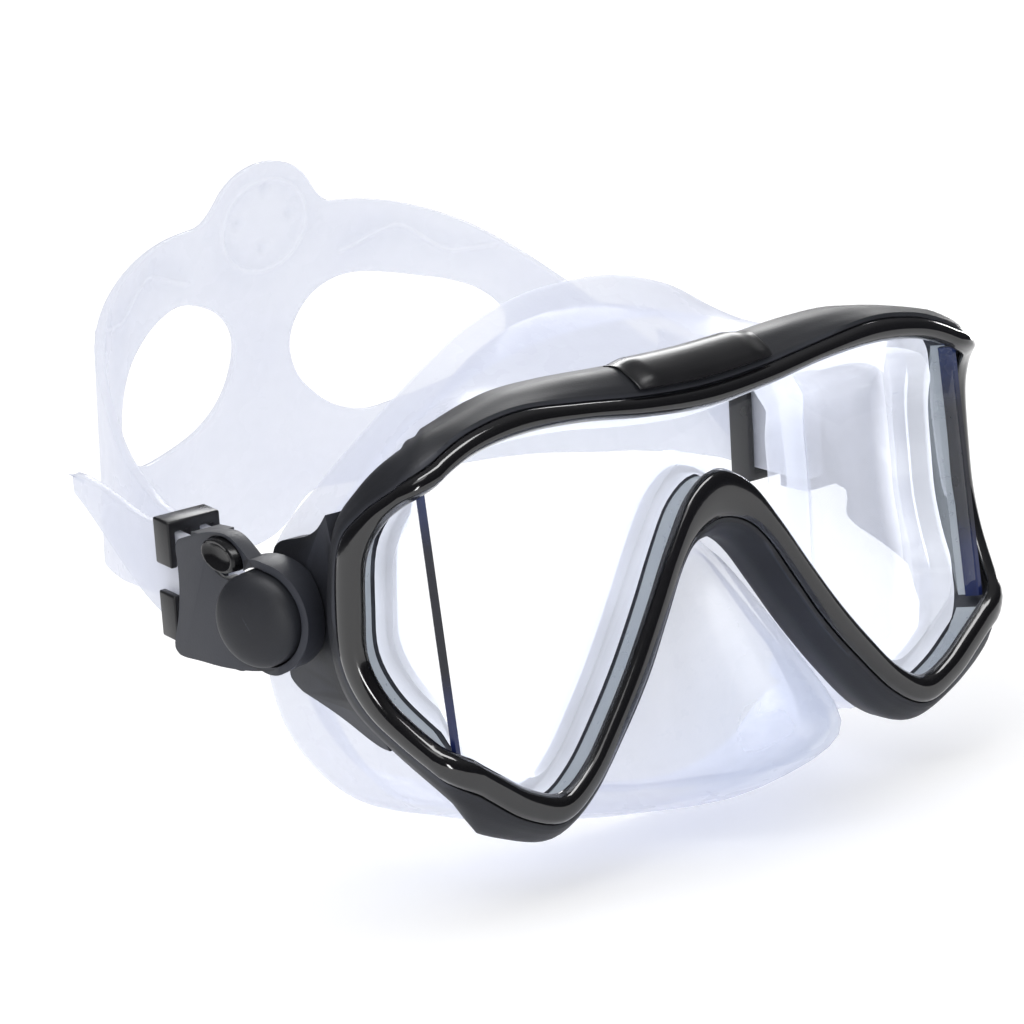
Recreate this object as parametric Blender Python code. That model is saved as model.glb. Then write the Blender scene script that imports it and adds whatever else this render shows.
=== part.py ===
"""Three-window diving mask: frame, windows, skirt, swivel buckles and split strap.

Design coordinates are millimetres: +X is the wearer's left, +Y runs back to the
face, +Z is up, Y = 0 is the outer face of the front window.  Objects are built in
metres with the row origin on the front window face, in the bridge above the nose.

Words used throughout: "along" is distance from the centre along the folded front or
the strap, "proud" is distance outside a surface, "side" is 1 for left, -1 for right.
"""
import math

import bmesh
import bpy
import numpy as np
from mathutils import Matrix, Vector
from mathutils.geometry import delaunay_2d_cdt

# ---------------------------------------------------------------- dimensions (mm)
MM = 0.001               # metres in a millimetre
ORIGIN_Z = 19.0          # height of the row origin in design coordinates
SIDES = ((1, "left"), (-1, "right"))
WELD = 2e-6              # vertices closer than this are merged, metres

# Windows and joints
LENS_HALF = 63.0         # half width of the front window, to the adhesive joint
FOLD = math.radians(62)  # side windows fold back by this much
FILLET = 3.5             # inner bend radius of the frame at the joint
GLASS = 4.0              # window thickness
LENS_LAP = 2.2           # window edge hidden under the bezel
JOINT_GAP = 0.3          # clearance between neighbouring pieces
MEET = 1.2               # window edge to the fold line, at each joint
STRIP_DEEP = 0.6         # share of the window thickness the joint strip fills
MITRE = GLASS * math.tan(FOLD / 2)   # shift of a window's rear edge at the joint
MITRE_RUN = 5.0          # width over which that shift fades out

# Buckles: the buckle frame is (back along the strap, up, outwards in X)
PIVOT_Y, PIVOT_Z = 36.8, -0.6
PITCH = math.radians(7)  # strap arms and buckles rise towards the back
LUG_IN, LUG_OUT = 65.7, 69.7
LUG_ARC_R = 9.2
PLATE_IN, PLATE_OUT = 75.0, 78.0
HUB_R, PIN_R, PIN_HOLE_R, PIN_HEAD_R = 8.6, 2.0, 2.3, 3.2
HUB_IN = LUG_OUT + 0.4
BLOCK_IN = PLATE_IN - 5.8     # inner end of the blocks above and below the roller
POCKET_FLOOR = PLATE_IN - 0.5  # cuts through the plate start inside it
CAP_TILT = math.radians(22)   # the cap and its cup face a little forwards
CAP_R, CAP_H, CAP_DEEP = 8.9, 3.6, 5.2
CUP_R, CUP_BORE = 10.8, 9.3
SPRING_BACK, SPRING_OUT = 12.4, PLATE_IN + 1.15
SPRING_R, SPRING_WIRE_R = 0.72, 0.2
SPRING_LOW, SPRING_HIGH = -6.4, 4.7
ROLLER_BACK, ROLLER_X, ROLLER_R = 22.5, 70.7, 1.5
JOURNAL_R = 0.8
KEEPER_BACK, KEEPER_LEN, KEEPER_WALL = 36.0, 6.0, 1.6

# Strap and skirt
STRAP_T, STRAP_HALF, WRAP_R = 2.0, 9.2, 2.8
STRAP_UP = -0.9          # strap centre line in the buckle frame
STRAP_SLOPE = 0.04       # sideways slope of the strap where it meets the roller
TAIL_LEN = 50.0
TAIL_BEND = 24.0         # the tail stops closing in on the arm here
TAIL_RISE, TAIL_RISE_START = 5.0, 22.0
TAIL_TAPER_START = 18.0
REAR_Z, REAR_LEAN = 21.3, math.radians(19.7)   # strap at the rear centre
LEAN_FADE = 26.0         # arm length before the roller with no more lean change
SKIRT_T = 2.0

# Mesh steps
SKIRT_STEPS = 6
PAD_STEP, ARM_STEP, WRAP_STEPS, BAND_ROWS = 5.0, 9.0, 8, 2
OPENING_COUNT, GRID, GRID_HALF = 26, 9.0, 112.0
PIN_COUNT, HUB_COUNT, CAP_COUNT, ROLLER_COUNT, BUTTON_COUNT = 16, 28, 32, 14, 24
DOME_RINGS = 6
SPRING_TURNS, SPRING_SEGMENTS, WIRE_COUNT = 6, 10, 4
CLIP_STEPS = 16

# ---------------------------------------------------------------- frame tables
# Stations round half of the window opening, from the top centre outwards, down and
# back up to the top of the nose arch: window opening, parting line, frame outline,
# each as (distance along the folded front, height).
STATIONS = [
    ((0, 25.1), (0, 29.4), (0, 34.8)),
    ((14, 26.2), (14, 30.2), (14.5, 35.2)),
    ((28, 28.2), (28, 32.0), (29, 36.0)),
    ((40, 28.9), (41, 33.3), (42, 36.0)),
    ((50, 28.0), (51.5, 32.0), (53, 34.2)),
    ((57, 25.8), (59.5, 29.0), (62.5, 31.0)),
    ((64, 21.8), (66.5, 24.4), (71, 27.2)),
    ((70, 17.8), (73.6, 20.3), (77.9, 22.4)),
    ((74.4, 11.5), (79.6, 14.2), (83.4, 15.9)),
    ((76.2, 1.5), (82.2, 1.0), (87, 1.5)),
    ((76.8, -6.5), (82.0, -8.5), (87, -9.5)),
    ((73.8, -13.6), (78.6, -16.2), (84.5, -17.0)),
    ((68.5, -19.3), (72.8, -22.3), (78, -24.5)),
    ((62, -24.8), (65.8, -28.2), (70.5, -31.5)),
    ((55.5, -30.0), (58.7, -34.3), (62.2, -38.6)),
    ((49.5, -34.4), (51.6, -39.6), (53.2, -43.6)),
    ((43.3, -36.5), (43.6, -42.2), (43.5, -46.4)),
    ((37.2, -32.6), (35.8, -37.8), (34.8, -42.0)),
    ((31, -25.2), (27.9, -28.9), (26.4, -32.3)),
    ((25, -17.0), (21.1, -20.0), (19.6, -22.6)),
    ((19, -7.6), (15.4, -10.6), (13.8, -13.2)),
    ((13, 2.2), (10.2, -2.0), (9.0, -5.6)),
    ((7.0, 10.2), (5.6, 2.6), (5.0, -1.4)),
    ((0, 13.7), (0, 4.4), (0, 0.2)),
]
HALF = len(STATIONS) - 1
LOOP = 2 * HALF
FOLD_STATIONS = (5.9, 12.85)   # where the outline crosses the fold, above and below
FOLD_SPAN = 1.1                # finer samples reach this many stations either way

# Sections are (across, offset, proud): across is 0 at the window opening, 1 at the
# parting line and 2 at the frame outline; offset moves outwards across the frame.
BEZEL_SECTION = [(0, 0.0, 1.6), (0, 0.15, 2.5), (0, 0.9, 3.7), (0.45, 0, 4.3),
                 (0.8, 0, 3.8), (1, -0.15, 2.9), (1, -0.15, 1.7), (0.5, 0, 1.6)]
REAR_SECTION = [(0, 3.0, 0.5), (1, 0.15, 0.5), (1, 0.15, 2.3), (1, 0.9, 2.0),
                (1.55, 0, 0.3), (2, 0, -3.5), (2, 0, -9.2), (1.8, 0, -10.5),
                (0, 0.35, -10.5), (0, 0.35, -9.0), (0, 3.0, -9.0)]
CLIP_SECTION = [(1, 1.3, 2.6), (1.55, 0.4, 0.85), (2, 0.4, -3.3), (2, 0.4, -7.4),
                (2, 1.15, -7.4), (2, 1.25, -3.0), (1.55, 1.15, 1.6), (1, 1.7, 3.3)]
SKIRT_LIP = [(0, -2.0, -4.5), (0, 1.6, -4.5), (0, 1.6, -8.4), (0, -0.7, -8.4),
             (0, -0.7, -11.4)]
SKIRT_LIP_CLOSE = (0, -2.3, -12.8)
CLIP_START, CLIP_SPAN = -1.05, 2.2   # stations either side of the top centre

# Skirt face edge (x, y, z), one point per station.
FACE_EDGE = [
    (0, 37.7, 47.2), (12, 37.8, 46.3), (24, 38.5, 42.4), (33, 39.6, 37.2),
    (42, 42, 30.4), (49, 45.5, 23.8), (55, 49, 17.5), (60, 52.5, 11.5),
    (62.6, 55.5, 5), (64.0, 57.2, -3), (64.5, 58.5, -11), (64, 59.5, -19),
    (62.5, 59.5, -27), (60, 58, -34), (56.8, 54.5, -40.0), (53, 51, -44.0),
    (48, 47.5, -46.6), (43, 43, -48.0), (37.5, 38.5, -49.2), (31, 34.5, -50.6),
    (24.5, 31.5, -52.2), (17.5, 29.7, -53.8), (9, 28.8, -55.4), (0, 28.5, -56.2),
]
# Skirt bulge outwards: stations, then millimetres at those stations.
BULGE = ((0, 3, 5, 7, 9, 11, 12, 14, 16), (-1.8, -2.4, -2.0, -1.2, -0.6, -0.4, -0.4, -0.2, 0.2))
# (way from frame to face edge, share of the bulge there)
BULGE_SHARES = ((0.2, 0.7), (0.4, 1.0), (0.6, 1.0), (0.8, 0.6))
# Nose pocket: station -> way points (x, y, z) from the frame to the face edge.
POCKET = {
    17: ((34.5, 13.8, -43.2), (35.3, 16.6, -44.6), (37, 21, -46.6), (39.5, 29, -48)),
    18: ((25.4, 11.7, -34.6), (26.1, 11.4, -38.6), (28.2, 14, -43), (32, 23, -47.2)),
    19: ((18.2, 8.4, -24.6), (19.2, 5.0, -33.0), (21.6, 6.5, -41), (25.5, 17, -47)),
    20: ((12.4, 6.4, -16.6), (14.4, 0.2, -28.5), (17.6, -1.5, -39.5), (20, 11, -47.8)),
    21: ((8.0, 4.8, -10.2), (11.4, -4.6, -24.5), (14.0, -9.0, -37.6), (15, 5, -47.6)),
    22: ((4.4, 3.4, -6.6), (7.2, -9.4, -21.0), (9.6, -18.2, -35.8), (8.4, 1, -48.2)),
    23: ((0, 2.8, -5.4), (0, -11.6, -20.0), (0, -21.4, -35.2), (0, 0, -48.8)),
}
POCKET_SAMPLES = {16.5, 17.33, 17.67, 18.5}   # extra sections at the foot of the pocket

# ---------------------------------------------------------------- strap tables
# The strap lies flat here as (along, height).  PAD_TOP is the top edge of half the band.
PAD_TOP = [(16, 39.2), (26, 38.4), (37, 36), (49, 32), (59, 27.5), (69, 23),
           (80, 18.5), (92, 13.6), (104, 10.4), (115, STRAP_HALF)]
PAD_END = PAD_TOP[-1][0]
LOBE_UP, LOBE_R = 37.5, 13.4
LOBE_END, LOBE_FOOT = 11.6, 17.5   # the lobe's round edge eases into the band
LOBE_STATIONS = [0, 3.5, 7, 9.8, LOBE_END, 12.6, 13.8, 15.4, LOBE_FOOT]
PAD_STEPS_START = 22
PAD_MID = 6.5
OPENING = [(6.0, 6), (6.4, 12), (10, 17.5), (16, 21.0), (22, 22.3), (28, 21.0),
           (35, 17.8), (41, 13.4), (44.8, 7), (45, 0), (41.2, -6.3),
           (34, -10.8), (25.5, -11.4), (17, -9.6), (11.4, -6), (7.8, -0.8)]
OPENING_LEFT = [(8.4, 6), (9.3, 12), (12.8, 17.4), (18, 20.6), (24, 21.6), (31, 20.9),
                (38, 19.8), (45, 18.8), (52, 16.8), (57.5, 12.8), (58, 7.5), (54, 1.5),
                (47, -3.6), (39.5, -7.4), (33, -10.0), (27, -11.6), (20.5, -10.0),
                (15.3, -6.3), (10.6, -0.8)]
# Half the strap in plan (x, y), from the rear centre.
ARM_PLAN = [(0, 158.3), (27, 154.4), (49.5, 138), (61.2, 113), (65.6, 92)]

# ---------------------------------------------------------------- buckle tables
# Lug outline in design (y, z), below and above its round end; the taper cut in (x, z).
LUG_LOW = [(16.8, -25.6), (19.6, -25.2), (23.0, -23.6), (26.4, -21.5), (30.3, -19.5),
           (34.6, -17.7), (39.0, -16.0), (41.5, -14.4), (42.0, -13.0), (41.2, -10.6)]
LUG_HIGH = [(41.9, 8.4), (41.6, 9.9), (40.4, 11.3), (37.9, 12.4), (33.2, 13.2), (28.9, 14.1),
            (25.0, 15.8), (21.6, 18.6)]
LUG_TAPER = [(80, -15.0), (70.2, -15.0), (65.9, -26.5), (65.9, -40), (80, -40)]
# Plate outline drawn level, (y, z) from the pivot.
PLATE_OUTLINE = [(-4.3, -8.6), (2.3, -9.8), (9, -10.4), (16, -10.6), (23.5, -10.4),
                 (29.2, -10.3), (31.4, -9.6), (31.9, -7.8), (29, -2.5), (27.1, 2.9),
                 (26.3, 8.0), (26.2, 10.8), (25.2, 12.6), (22, 13.6), (17.6, 14.6),
                 (13.5, 15.3), (8.2, 15.6), (4.8, 14.8), (1.4, 12.7), (-3, 9.3),
                 (-7, 6.2), (-9.1, 2.0), (-9.0, -3.0), (-7, -6.6)]
# The rest are (back, up) in the buckle frame.
BLOCK_HIGH = [(20.2, 9.0), (25.2, 9.0), (25.2, 10.9), (20.2, 11.4)]
BLOCK_LOW = [(20.2, -13.2), (28.6, -13.6), (28.6, -10.9), (20.2, -10.9)]
SPRING_POCKET = [(11.0, -7.2), (13.8, -7.2), (13.8, 7.5), (11.0, 7.5)]
LOW_NOTCH = [(6.7, -6.5), (19.7, -6.5), (19.7, -16), (6.7, -16)]
LOWER_BUTTON = [(7.6, -8.2), (18.8, -8.2), (19.2, -9.6), (18.6, -11.3), (16.6, -12.5),
                (9.6, -12.5), (7.6, -11.3), (7.2, -9.6)]
WHOLE_PLATE = [(-40, -40), (40, -40), (40, 40), (-40, 40)]   # larger than the plate
UPPER_BUTTON_BACK, UPPER_BUTTON_UP = 9.8, 10.4


# ---------------------------------------------------------------- scene and meshes
def clear_scene():
    for ob in list(bpy.data.objects):
        bpy.data.objects.remove(ob, do_unlink=True)


def material(name, colour, roughness, metallic=0.0, alpha=1.0):
    mat = bpy.data.materials.new(name)
    mat.use_nodes = True
    inputs = mat.node_tree.nodes["Principled BSDF"].inputs
    inputs["Base Color"].default_value = (*colour, 1.0)
    inputs["Roughness"].default_value = roughness
    inputs["Metallic"].default_value = metallic
    inputs["Alpha"].default_value = alpha
    mat.diffuse_color = (*colour, alpha)
    return mat


def row(point):
    """Design millimetres to metres about the row origin."""
    return (point[0] * MM, point[1] * MM, (point[2] - ORIGIN_Z) * MM)


def face_out(bm):
    """Consistent normals, pointing out of the body."""
    bmesh.ops.recalc_face_normals(bm, faces=bm.faces)
    if bm.calc_volume(signed=True) < 0:
        bmesh.ops.reverse_faces(bm, faces=bm.faces)


def finish_mesh(mesh, mat, sharp_angle=35, drop_slivers=True):
    """Welds the mesh, turns its normals out, sets its material and smooth shading."""
    bm = bmesh.new()
    bm.from_mesh(mesh)
    bmesh.ops.remove_doubles(bm, verts=bm.verts, dist=WELD)
    if drop_slivers:
        bmesh.ops.dissolve_degenerate(bm, edges=bm.edges, dist=WELD)
    face_out(bm)
    bm.to_mesh(mesh)
    bm.free()
    mesh.materials.clear()
    if mat:
        mesh.materials.append(mat)
    mesh.shade_smooth()
    mesh.set_sharp_from_angle(angle=math.radians(sharp_angle))


def make(name, verts, faces, mat=None, sharp_angle=35):
    """One object from design points."""
    mesh = bpy.data.meshes.new(name)
    mesh.from_pydata([row(v) for v in verts], [], faces)
    finish_mesh(mesh, mat, sharp_angle, drop_slivers=False)
    ob = bpy.data.objects.new(name, mesh)
    bpy.context.scene.collection.objects.link(ob)
    return ob


def boolean(ob, other, operation):
    """Applies an exact Boolean and drops the second object."""
    mod = ob.modifiers.new("cut", "BOOLEAN")
    mod.operation, mod.solver, mod.object = operation, "EXACT", other
    bpy.context.view_layer.update()
    evaluated = ob.evaluated_get(bpy.context.evaluated_depsgraph_get())
    mesh = bpy.data.meshes.new_from_object(evaluated)
    ob.modifiers.clear()
    ob.data = mesh
    bpy.data.objects.remove(other, do_unlink=True)


def combine(ob, operation, bodies):
    """Applies one Boolean per (verts, faces) body, in order."""
    for body in bodies:
        boolean(ob, make("tool", *body), operation)


def set_origin(ob, point):
    """Moves an object's origin to a design point without moving the shape."""
    origin = Vector(row(point))
    ob.data.transform(Matrix.Translation(-origin))
    ob.location = origin


# ---------------------------------------------------------------- geometry helpers
def pairs(items):
    """Neighbouring pairs round a closed list."""
    return list(zip(items, items[1:] + items[:1]))


def spline(points, position, closed):
    """Point on a Catmull-Rom curve; position counts control points."""
    count = len(points)
    i = int(math.floor(position))
    if closed:
        before, start, end, after = (
            np.asarray(points[(i + k) % count], float) for k in (-1, 0, 1, 2))
    else:
        i = min(max(i, 0), count - 2)
        start, end = np.asarray(points[i], float), np.asarray(points[i + 1], float)
        before = np.asarray(points[i - 1], float) if i > 0 else 2 * start - end
        after = np.asarray(points[i + 2], float) if i + 2 < count else 2 * end - start
    t = position - i
    return 0.5 * (2 * start + (end - before) * t
                  + (2 * before - 5 * start + 4 * end - after) * t * t
                  + (3 * start - before - 3 * end + after) * t ** 3)


def smooth(t):
    t = min(max(t, 0.0), 1.0)
    return t * t * (3 - 2 * t)


def loft(rings, closed_path=True):
    """Faces of a lofted body: rings are closed loops, the path closed or capped."""
    count, size = len(rings), len(rings[0])
    verts = [point for ring in rings for point in ring]
    faces = []
    for i in range(count if closed_path else count - 1):
        j = (i + 1) % count
        for k in range(size):
            m = (k + 1) % size
            faces.append((i * size + k, i * size + m, j * size + m, j * size + k))
    if not closed_path:
        faces.append(tuple(range(size)))
        faces.append(tuple((count - 1) * size + k for k in range(size)))
    return verts, faces


def slab(front, back):
    """Body between two matching outlines."""
    n = len(front)
    faces = [tuple(range(n)), tuple(range(2 * n - 1, n - 1, -1))]
    faces += [(i, (i + 1) % n, n + (i + 1) % n, n + i) for i in range(n)]
    return front + back, faces


def oval(count, radius_x, radius_y, centre=(0.0, 0.0)):
    angles = [2 * math.pi * k / count for k in range(count)]
    return [(centre[0] + radius_x * math.cos(t), centre[1] + radius_y * math.sin(t))
            for t in angles]


def in_polygon(point, polygon):
    inside = False
    for (x1, y1), (x2, y2) in pairs(polygon):
        if (y1 > point[1]) != (y2 > point[1]):
            if point[0] < (x2 - x1) * (point[1] - y1) / (y2 - y1) + x1:
                inside = not inside
    return inside


def triangulate(points, edges, epsilon, border, holes):
    """Vertices, triangles inside the border but in no hole, and input ids per vertex."""
    verts, _, faces, sources, *_ = delaunay_2d_cdt(points, edges, [], 1, epsilon)

    def wanted(face):
        centre = [sum(verts[i][axis] for i in face) / len(face) for axis in (0, 1)]
        return in_polygon(centre, border) and not any(in_polygon(centre, h) for h in holes)
    return verts, [tuple(face) for face in faces if wanted(face)], sources


# ---------------------------------------------------------------- folded front
def fold(along, z, proud):
    """Point on the bent front, at a distance outside the window surface."""
    sign, dist, slant = (-1.0 if along < 0 else 1.0), abs(along), math.tan(FOLD / 2)
    radius = FILLET + max(proud, 0.0)
    bend_start = LENS_HALF + slant * proud - slant * radius
    bend_end = LENS_HALF - slant * proud + slant * radius
    if dist <= bend_start:
        x, y = dist, -proud
    elif dist >= bend_end:
        x, y, _ = flat_side(dist, z, proud)
    else:
        angle = FOLD * (dist - bend_start) / (bend_end - bend_start)
        x = bend_start + radius * math.sin(angle)
        y = -proud + radius - radius * math.cos(angle)
    return (sign * x, y, z)


def flat_side(along, z, proud):
    """Point on the flat left window's plane, with no bend radius."""
    return (LENS_HALF + (along - LENS_HALF) * math.cos(FOLD) + proud * math.sin(FOLD),
            (along - LENS_HALF) * math.sin(FOLD) - proud * math.cos(FOLD), z)


def loop_points(column):
    """Control points of one closed outline, mirrored to the other half."""
    half = [np.array(station[column], float) for station in STATIONS]
    return half + [point * (-1, 1) for point in half[-2:0:-1]]


OUTLINES = [loop_points(column) for column in range(3)]


def outline(station, across, offset):
    """(along, height) at a loop position; across and offset as in the sections."""
    opening, seam, outer = (spline(points, station, True) for points in OUTLINES)
    outwards = outer - opening
    outwards = outwards / np.linalg.norm(outwards)
    if across <= 1:
        point = opening + (seam - opening) * across
    else:
        point = seam + (outer - seam) * (across - 1)
    return point + outwards * offset


def frame_point(station, across, offset, proud):
    along, z = outline(station, across, offset)
    if proud < 0 and across > 1 and z > 0:
        # Eases the rear edge round the upper fold: up to 1.8 high, 9 beyond the fold,
        # reached in full 9.2 behind the window face.
        reach = (abs(along) - LENS_HALF) / 9.0
        z += (1.8 * min(-proud / 9.2, 1.0) * (across - 1)
              * reach * math.exp(0.5 - 0.5 * reach * reach))
    return fold(along, z, proud)


def loop_samples(per_station, at_fold):
    """Loop positions: even steps, with finer ones where the outline crosses the fold."""
    samples = {round(i / per_station, 4) for i in range(LOOP * per_station)}
    for centre in FOLD_STATIONS + tuple(LOOP - s for s in FOLD_STATIONS):
        samples |= {round(centre + FOLD_SPAN * (k / at_fold - 0.5) * 2, 4)
                    for k in range(at_fold + 1)}
    spaced = []
    for sample in sorted(samples):
        if not spaced or sample - spaced[-1] > 0.12:
            spaced.append(sample)
    return spaced


FRAME_SAMPLES = loop_samples(2, 12)


def frame_loop(section):
    return loft([[frame_point(s, *corner) for corner in section] for s in FRAME_SAMPLES])


def build_bezel(mat):
    make("front_bezel", *frame_loop(BEZEL_SECTION), mat, 50)


def build_rear_frame(mat):
    """Rear frame with a buckle lug on each side."""
    rear = make("rear_frame", *frame_loop(REAR_SECTION))
    angles = [math.radians(degrees) for degrees in range(-60, 61, 12)]
    arc = [(PIVOT_Y + LUG_ARC_R * math.cos(t), PIVOT_Z + LUG_ARC_R * math.sin(t))
           for t in angles]
    profile = LUG_LOW + arc + LUG_HIGH
    hole = oval(PIN_COUNT, PIN_HOLE_R, PIN_HOLE_R, (PIVOT_Y, PIVOT_Z))
    for side, _ in SIDES:
        lug = make("lug", *prism(profile, LUG_IN, LUG_OUT, side, level_point))
        combine(lug, "DIFFERENCE", [slab([(side * x, -20, z) for x, z in LUG_TAPER],
                                         [(side * x, 60, z) for x, z in LUG_TAPER])])
        boolean(rear, lug, "UNION")
        combine(rear, "DIFFERENCE", [prism(hole, LUG_IN - 3, LUG_OUT + 3, side, level_point)])
    finish_mesh(rear.data, mat, 40)


def build_bridge_clip(mat):
    """Thin clip over the top centre of the frame."""
    stations = [(CLIP_START + CLIP_SPAN * k / CLIP_STEPS) % LOOP for k in range(CLIP_STEPS + 1)]
    rings = [[frame_point(s, *corner) for corner in CLIP_SECTION] for s in stations]
    make("bridge_clip", *loft(rings, closed_path=False), mat, 40)


# ---------------------------------------------------------------- windows
def clip_loop(points, keep):
    """Clips a closed (along, z) polygon to along >= keep (Sutherland-Hodgman)."""
    clipped = []
    for start, end in pairs(points):
        start_in, end_in = start[0] >= keep, end[0] >= keep
        if start_in:
            clipped.append(tuple(start))
        if start_in != end_in:
            share = (keep - start[0]) / (end[0] - start[0])
            clipped.append((keep, start[1] + share * (end[1] - start[1])))
    return clipped


def window_edge():
    return [tuple(outline(s, 0, LENS_LAP)) for s in FRAME_SAMPLES]


def build_front_lens(mat):
    face = window_edge()
    for _ in range(2):   # mirrored each time, so both ends get clipped
        face = clip_loop([(-along, z) for along, z in face][::-1], -LENS_HALF + MEET)

    def rear_x(along):
        over = max(0.0, abs(along) - (LENS_HALF - MEET - MITRE_RUN)) / MITRE_RUN
        return along - math.copysign(MITRE * over, along)
    lens = make("front_lens", *slab([(along, 0.0, z) for along, z in face],
                                    [(rear_x(along), GLASS, z) for along, z in face]), mat)
    raise_land(lens)


def raise_land(lens):
    """Leaves a small triangular land in the middle of the window's outer face."""
    step = 0.00002   # metres the rest of the face is set back
    corners = ((-0.003, -0.0018), (0.003, -0.0018), (0.0, 0.0032))   # (x, z), metres
    bm = bmesh.new()
    bm.from_mesh(lens.data)
    front = [face for face in bm.faces
             if len(face.verts) > 20 and abs(face.calc_center_median().y) < 1e-5][0]
    rim = list(front.verts)
    bmesh.ops.delete(bm, geom=[front], context="FACES_ONLY")
    for vert in rim:
        vert.co.y = step
    foot = [bm.verts.new((x, step, z)) for x, z in corners]
    land = [bm.verts.new((x, 0.0, z)) for x, z in corners]
    bm.faces.new(land)
    for i in range(3):
        j = (i + 1) % 3
        bm.faces.new((foot[i], foot[j], land[j], land[i]))
    verts = rim + foot
    points = [Vector((vert.co.x, vert.co.z)) for vert in verts]
    n = len(rim)
    edges = pairs(list(range(n))) + pairs([n, n + 1, n + 2])
    polygon = [tuple(point) for point in points]
    _, faces, sources = triangulate(points, edges, 1e-9, polygon[:n], [polygon[n:]])
    for face in faces:
        bm.faces.new([verts[sources[i][0]] for i in face])
    face_out(bm)
    bm.to_mesh(lens.data)
    bm.free()


def build_side_window(side, name, glass, glue):
    """Side window, and the adhesive strip between it and the front window."""
    face = clip_loop(window_edge(), LENS_HALF + MEET)

    def put(along, z, proud):
        x, y, z = flat_side(along, z, proud)
        return (side * x, y, z)

    def rear_along(along):
        return along + MITRE * max(0.0, 1 - (along - LENS_HALF - MEET) / MITRE_RUN)
    make(f"side_lens_{name}", *slab([put(along, z, 0.0) for along, z in face],
                                    [put(rear_along(along), z, -GLASS) for along, z in face]),
         glass)

    heights = [z for along, z in face if along < LENS_HALF + MEET + 0.05]
    low, high = min(heights) + 0.2, max(heights) - 0.2
    half = MEET - JOINT_GAP
    rear_half = half + MITRE * STRIP_DEEP
    depth = GLASS * STRIP_DEEP
    section = [(LENS_HALF - half, 0.0), (LENS_HALF, 0.0),
               flat_side(LENS_HALF + half, 0, 0)[:2],
               flat_side(LENS_HALF + rear_half, 0, -depth)[:2],
               (LENS_HALF - rear_half, depth)]
    make(f"lens_joint_{name}", *slab([(side * x, y, low) for x, y in section],
                                     [(side * x, y, high) for x, y in section]), glue)


# ---------------------------------------------------------------- skirt
def skirt_rows():
    """Control net of the outer skirt surface: one row of way points per station."""
    rows = []
    for i in range(HALF + 1):
        edge = np.array(FACE_EDGE[i], float)
        if i in POCKET:
            start = np.array(frame_point(i, 2, 0.9, -12.2))
            rows.append([start] + [np.array(p, float) for p in POCKET[i]] + [edge])
            continue
        start = np.array(frame_point(i, 0.9 if i < 7 else 1.2, 0, -12.4))
        outwards = np.array(frame_point(i, 2, 3.0, -12.4)) - start
        outwards /= np.linalg.norm(outwards)
        bulge = np.interp(i, *BULGE)
        way = [start + (edge - start) * t + outwards * bulge * share
               for t, share in BULGE_SHARES]
        rows.append([start] + way + [edge])
    mirror = [[point * (-1, 1, 1) for point in points] for points in rows[-2:0:-1]]
    return rows + mirror


SKIRT_NET = skirt_rows()
SKIRT_END = len(SKIRT_NET[0]) - 1


def skirt_point(station, way):
    """Outer skirt surface, way 0 behind the frame to SKIRT_END at the face edge."""
    columns = [spline([points[k] for points in SKIRT_NET], station, True)
               for k in range(SKIRT_END + 1)]
    return spline(columns, way, False)


def skirt_normal(station, way):
    step = 0.02
    around = skirt_point(station + step, way) - skirt_point(station - step, way)
    back = (skirt_point(station, min(way + step, SKIRT_END))
            - skirt_point(station, max(way - step, 0)))
    normal = np.cross(around, back)
    return normal / np.linalg.norm(normal)


def skirt_section(station):
    """Closed section: seat lip, outer wall, face edge, inner wall."""
    lip = [frame_point(station, *corner) for corner in SKIRT_LIP]
    ways = [SKIRT_END * k / SKIRT_STEPS for k in range(SKIRT_STEPS + 1)]
    outer = [skirt_point(station, way) for way in ways]
    from_nose = abs(station - HALF)
    # The wall is thinner at the frame, and where the nose pocket begins (6 stations out).
    thin = max(0.0, 1 - abs(from_nose - 6.0) / 1.6)
    inner = [point - skirt_normal(station, way) * SKIRT_T
             * (0.7 + 0.3 * min(way, 1.0)) * (1 - 0.35 * thin)
             for point, way in zip(outer, ways)]
    # The inner wall starts further behind the frame at the nose.
    back = np.array(frame_point(station, 1, 0, -14.0)) - frame_point(station, 1, 0, -12.4)
    at_nose = min(max((5.6 - from_nose) / 1.2, 0.0), 1.0)
    inner[0] = inner[0] + back * (0.15 + 0.7 * at_nose)
    return lip + outer + inner[::-1] + [frame_point(station, *SKIRT_LIP_CLOSE)]


def build_skirt(mat):
    extra = POCKET_SAMPLES | {LOOP - s for s in POCKET_SAMPLES}
    samples = sorted(set(loop_samples(1, 6)) | extra)
    make("skirt", *loft([skirt_section(s) for s in samples]), mat, 60)


# ---------------------------------------------------------------- placing buckle parts
def buckle_point(side, back, up, out):
    """Buckle frame to design axes."""
    return (side * out, PIVOT_Y + back * math.cos(PITCH) - up * math.sin(PITCH),
            PIVOT_Z + back * math.sin(PITCH) + up * math.cos(PITCH))


def level_point(side, y, z, out):
    return (side * out, y, z)


def prism(points, inner, outer, side, place=buckle_point):
    """Extrudes an outline along X."""
    return slab(*([place(side, *point, out) for point in points] for out in (inner, outer)))


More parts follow.
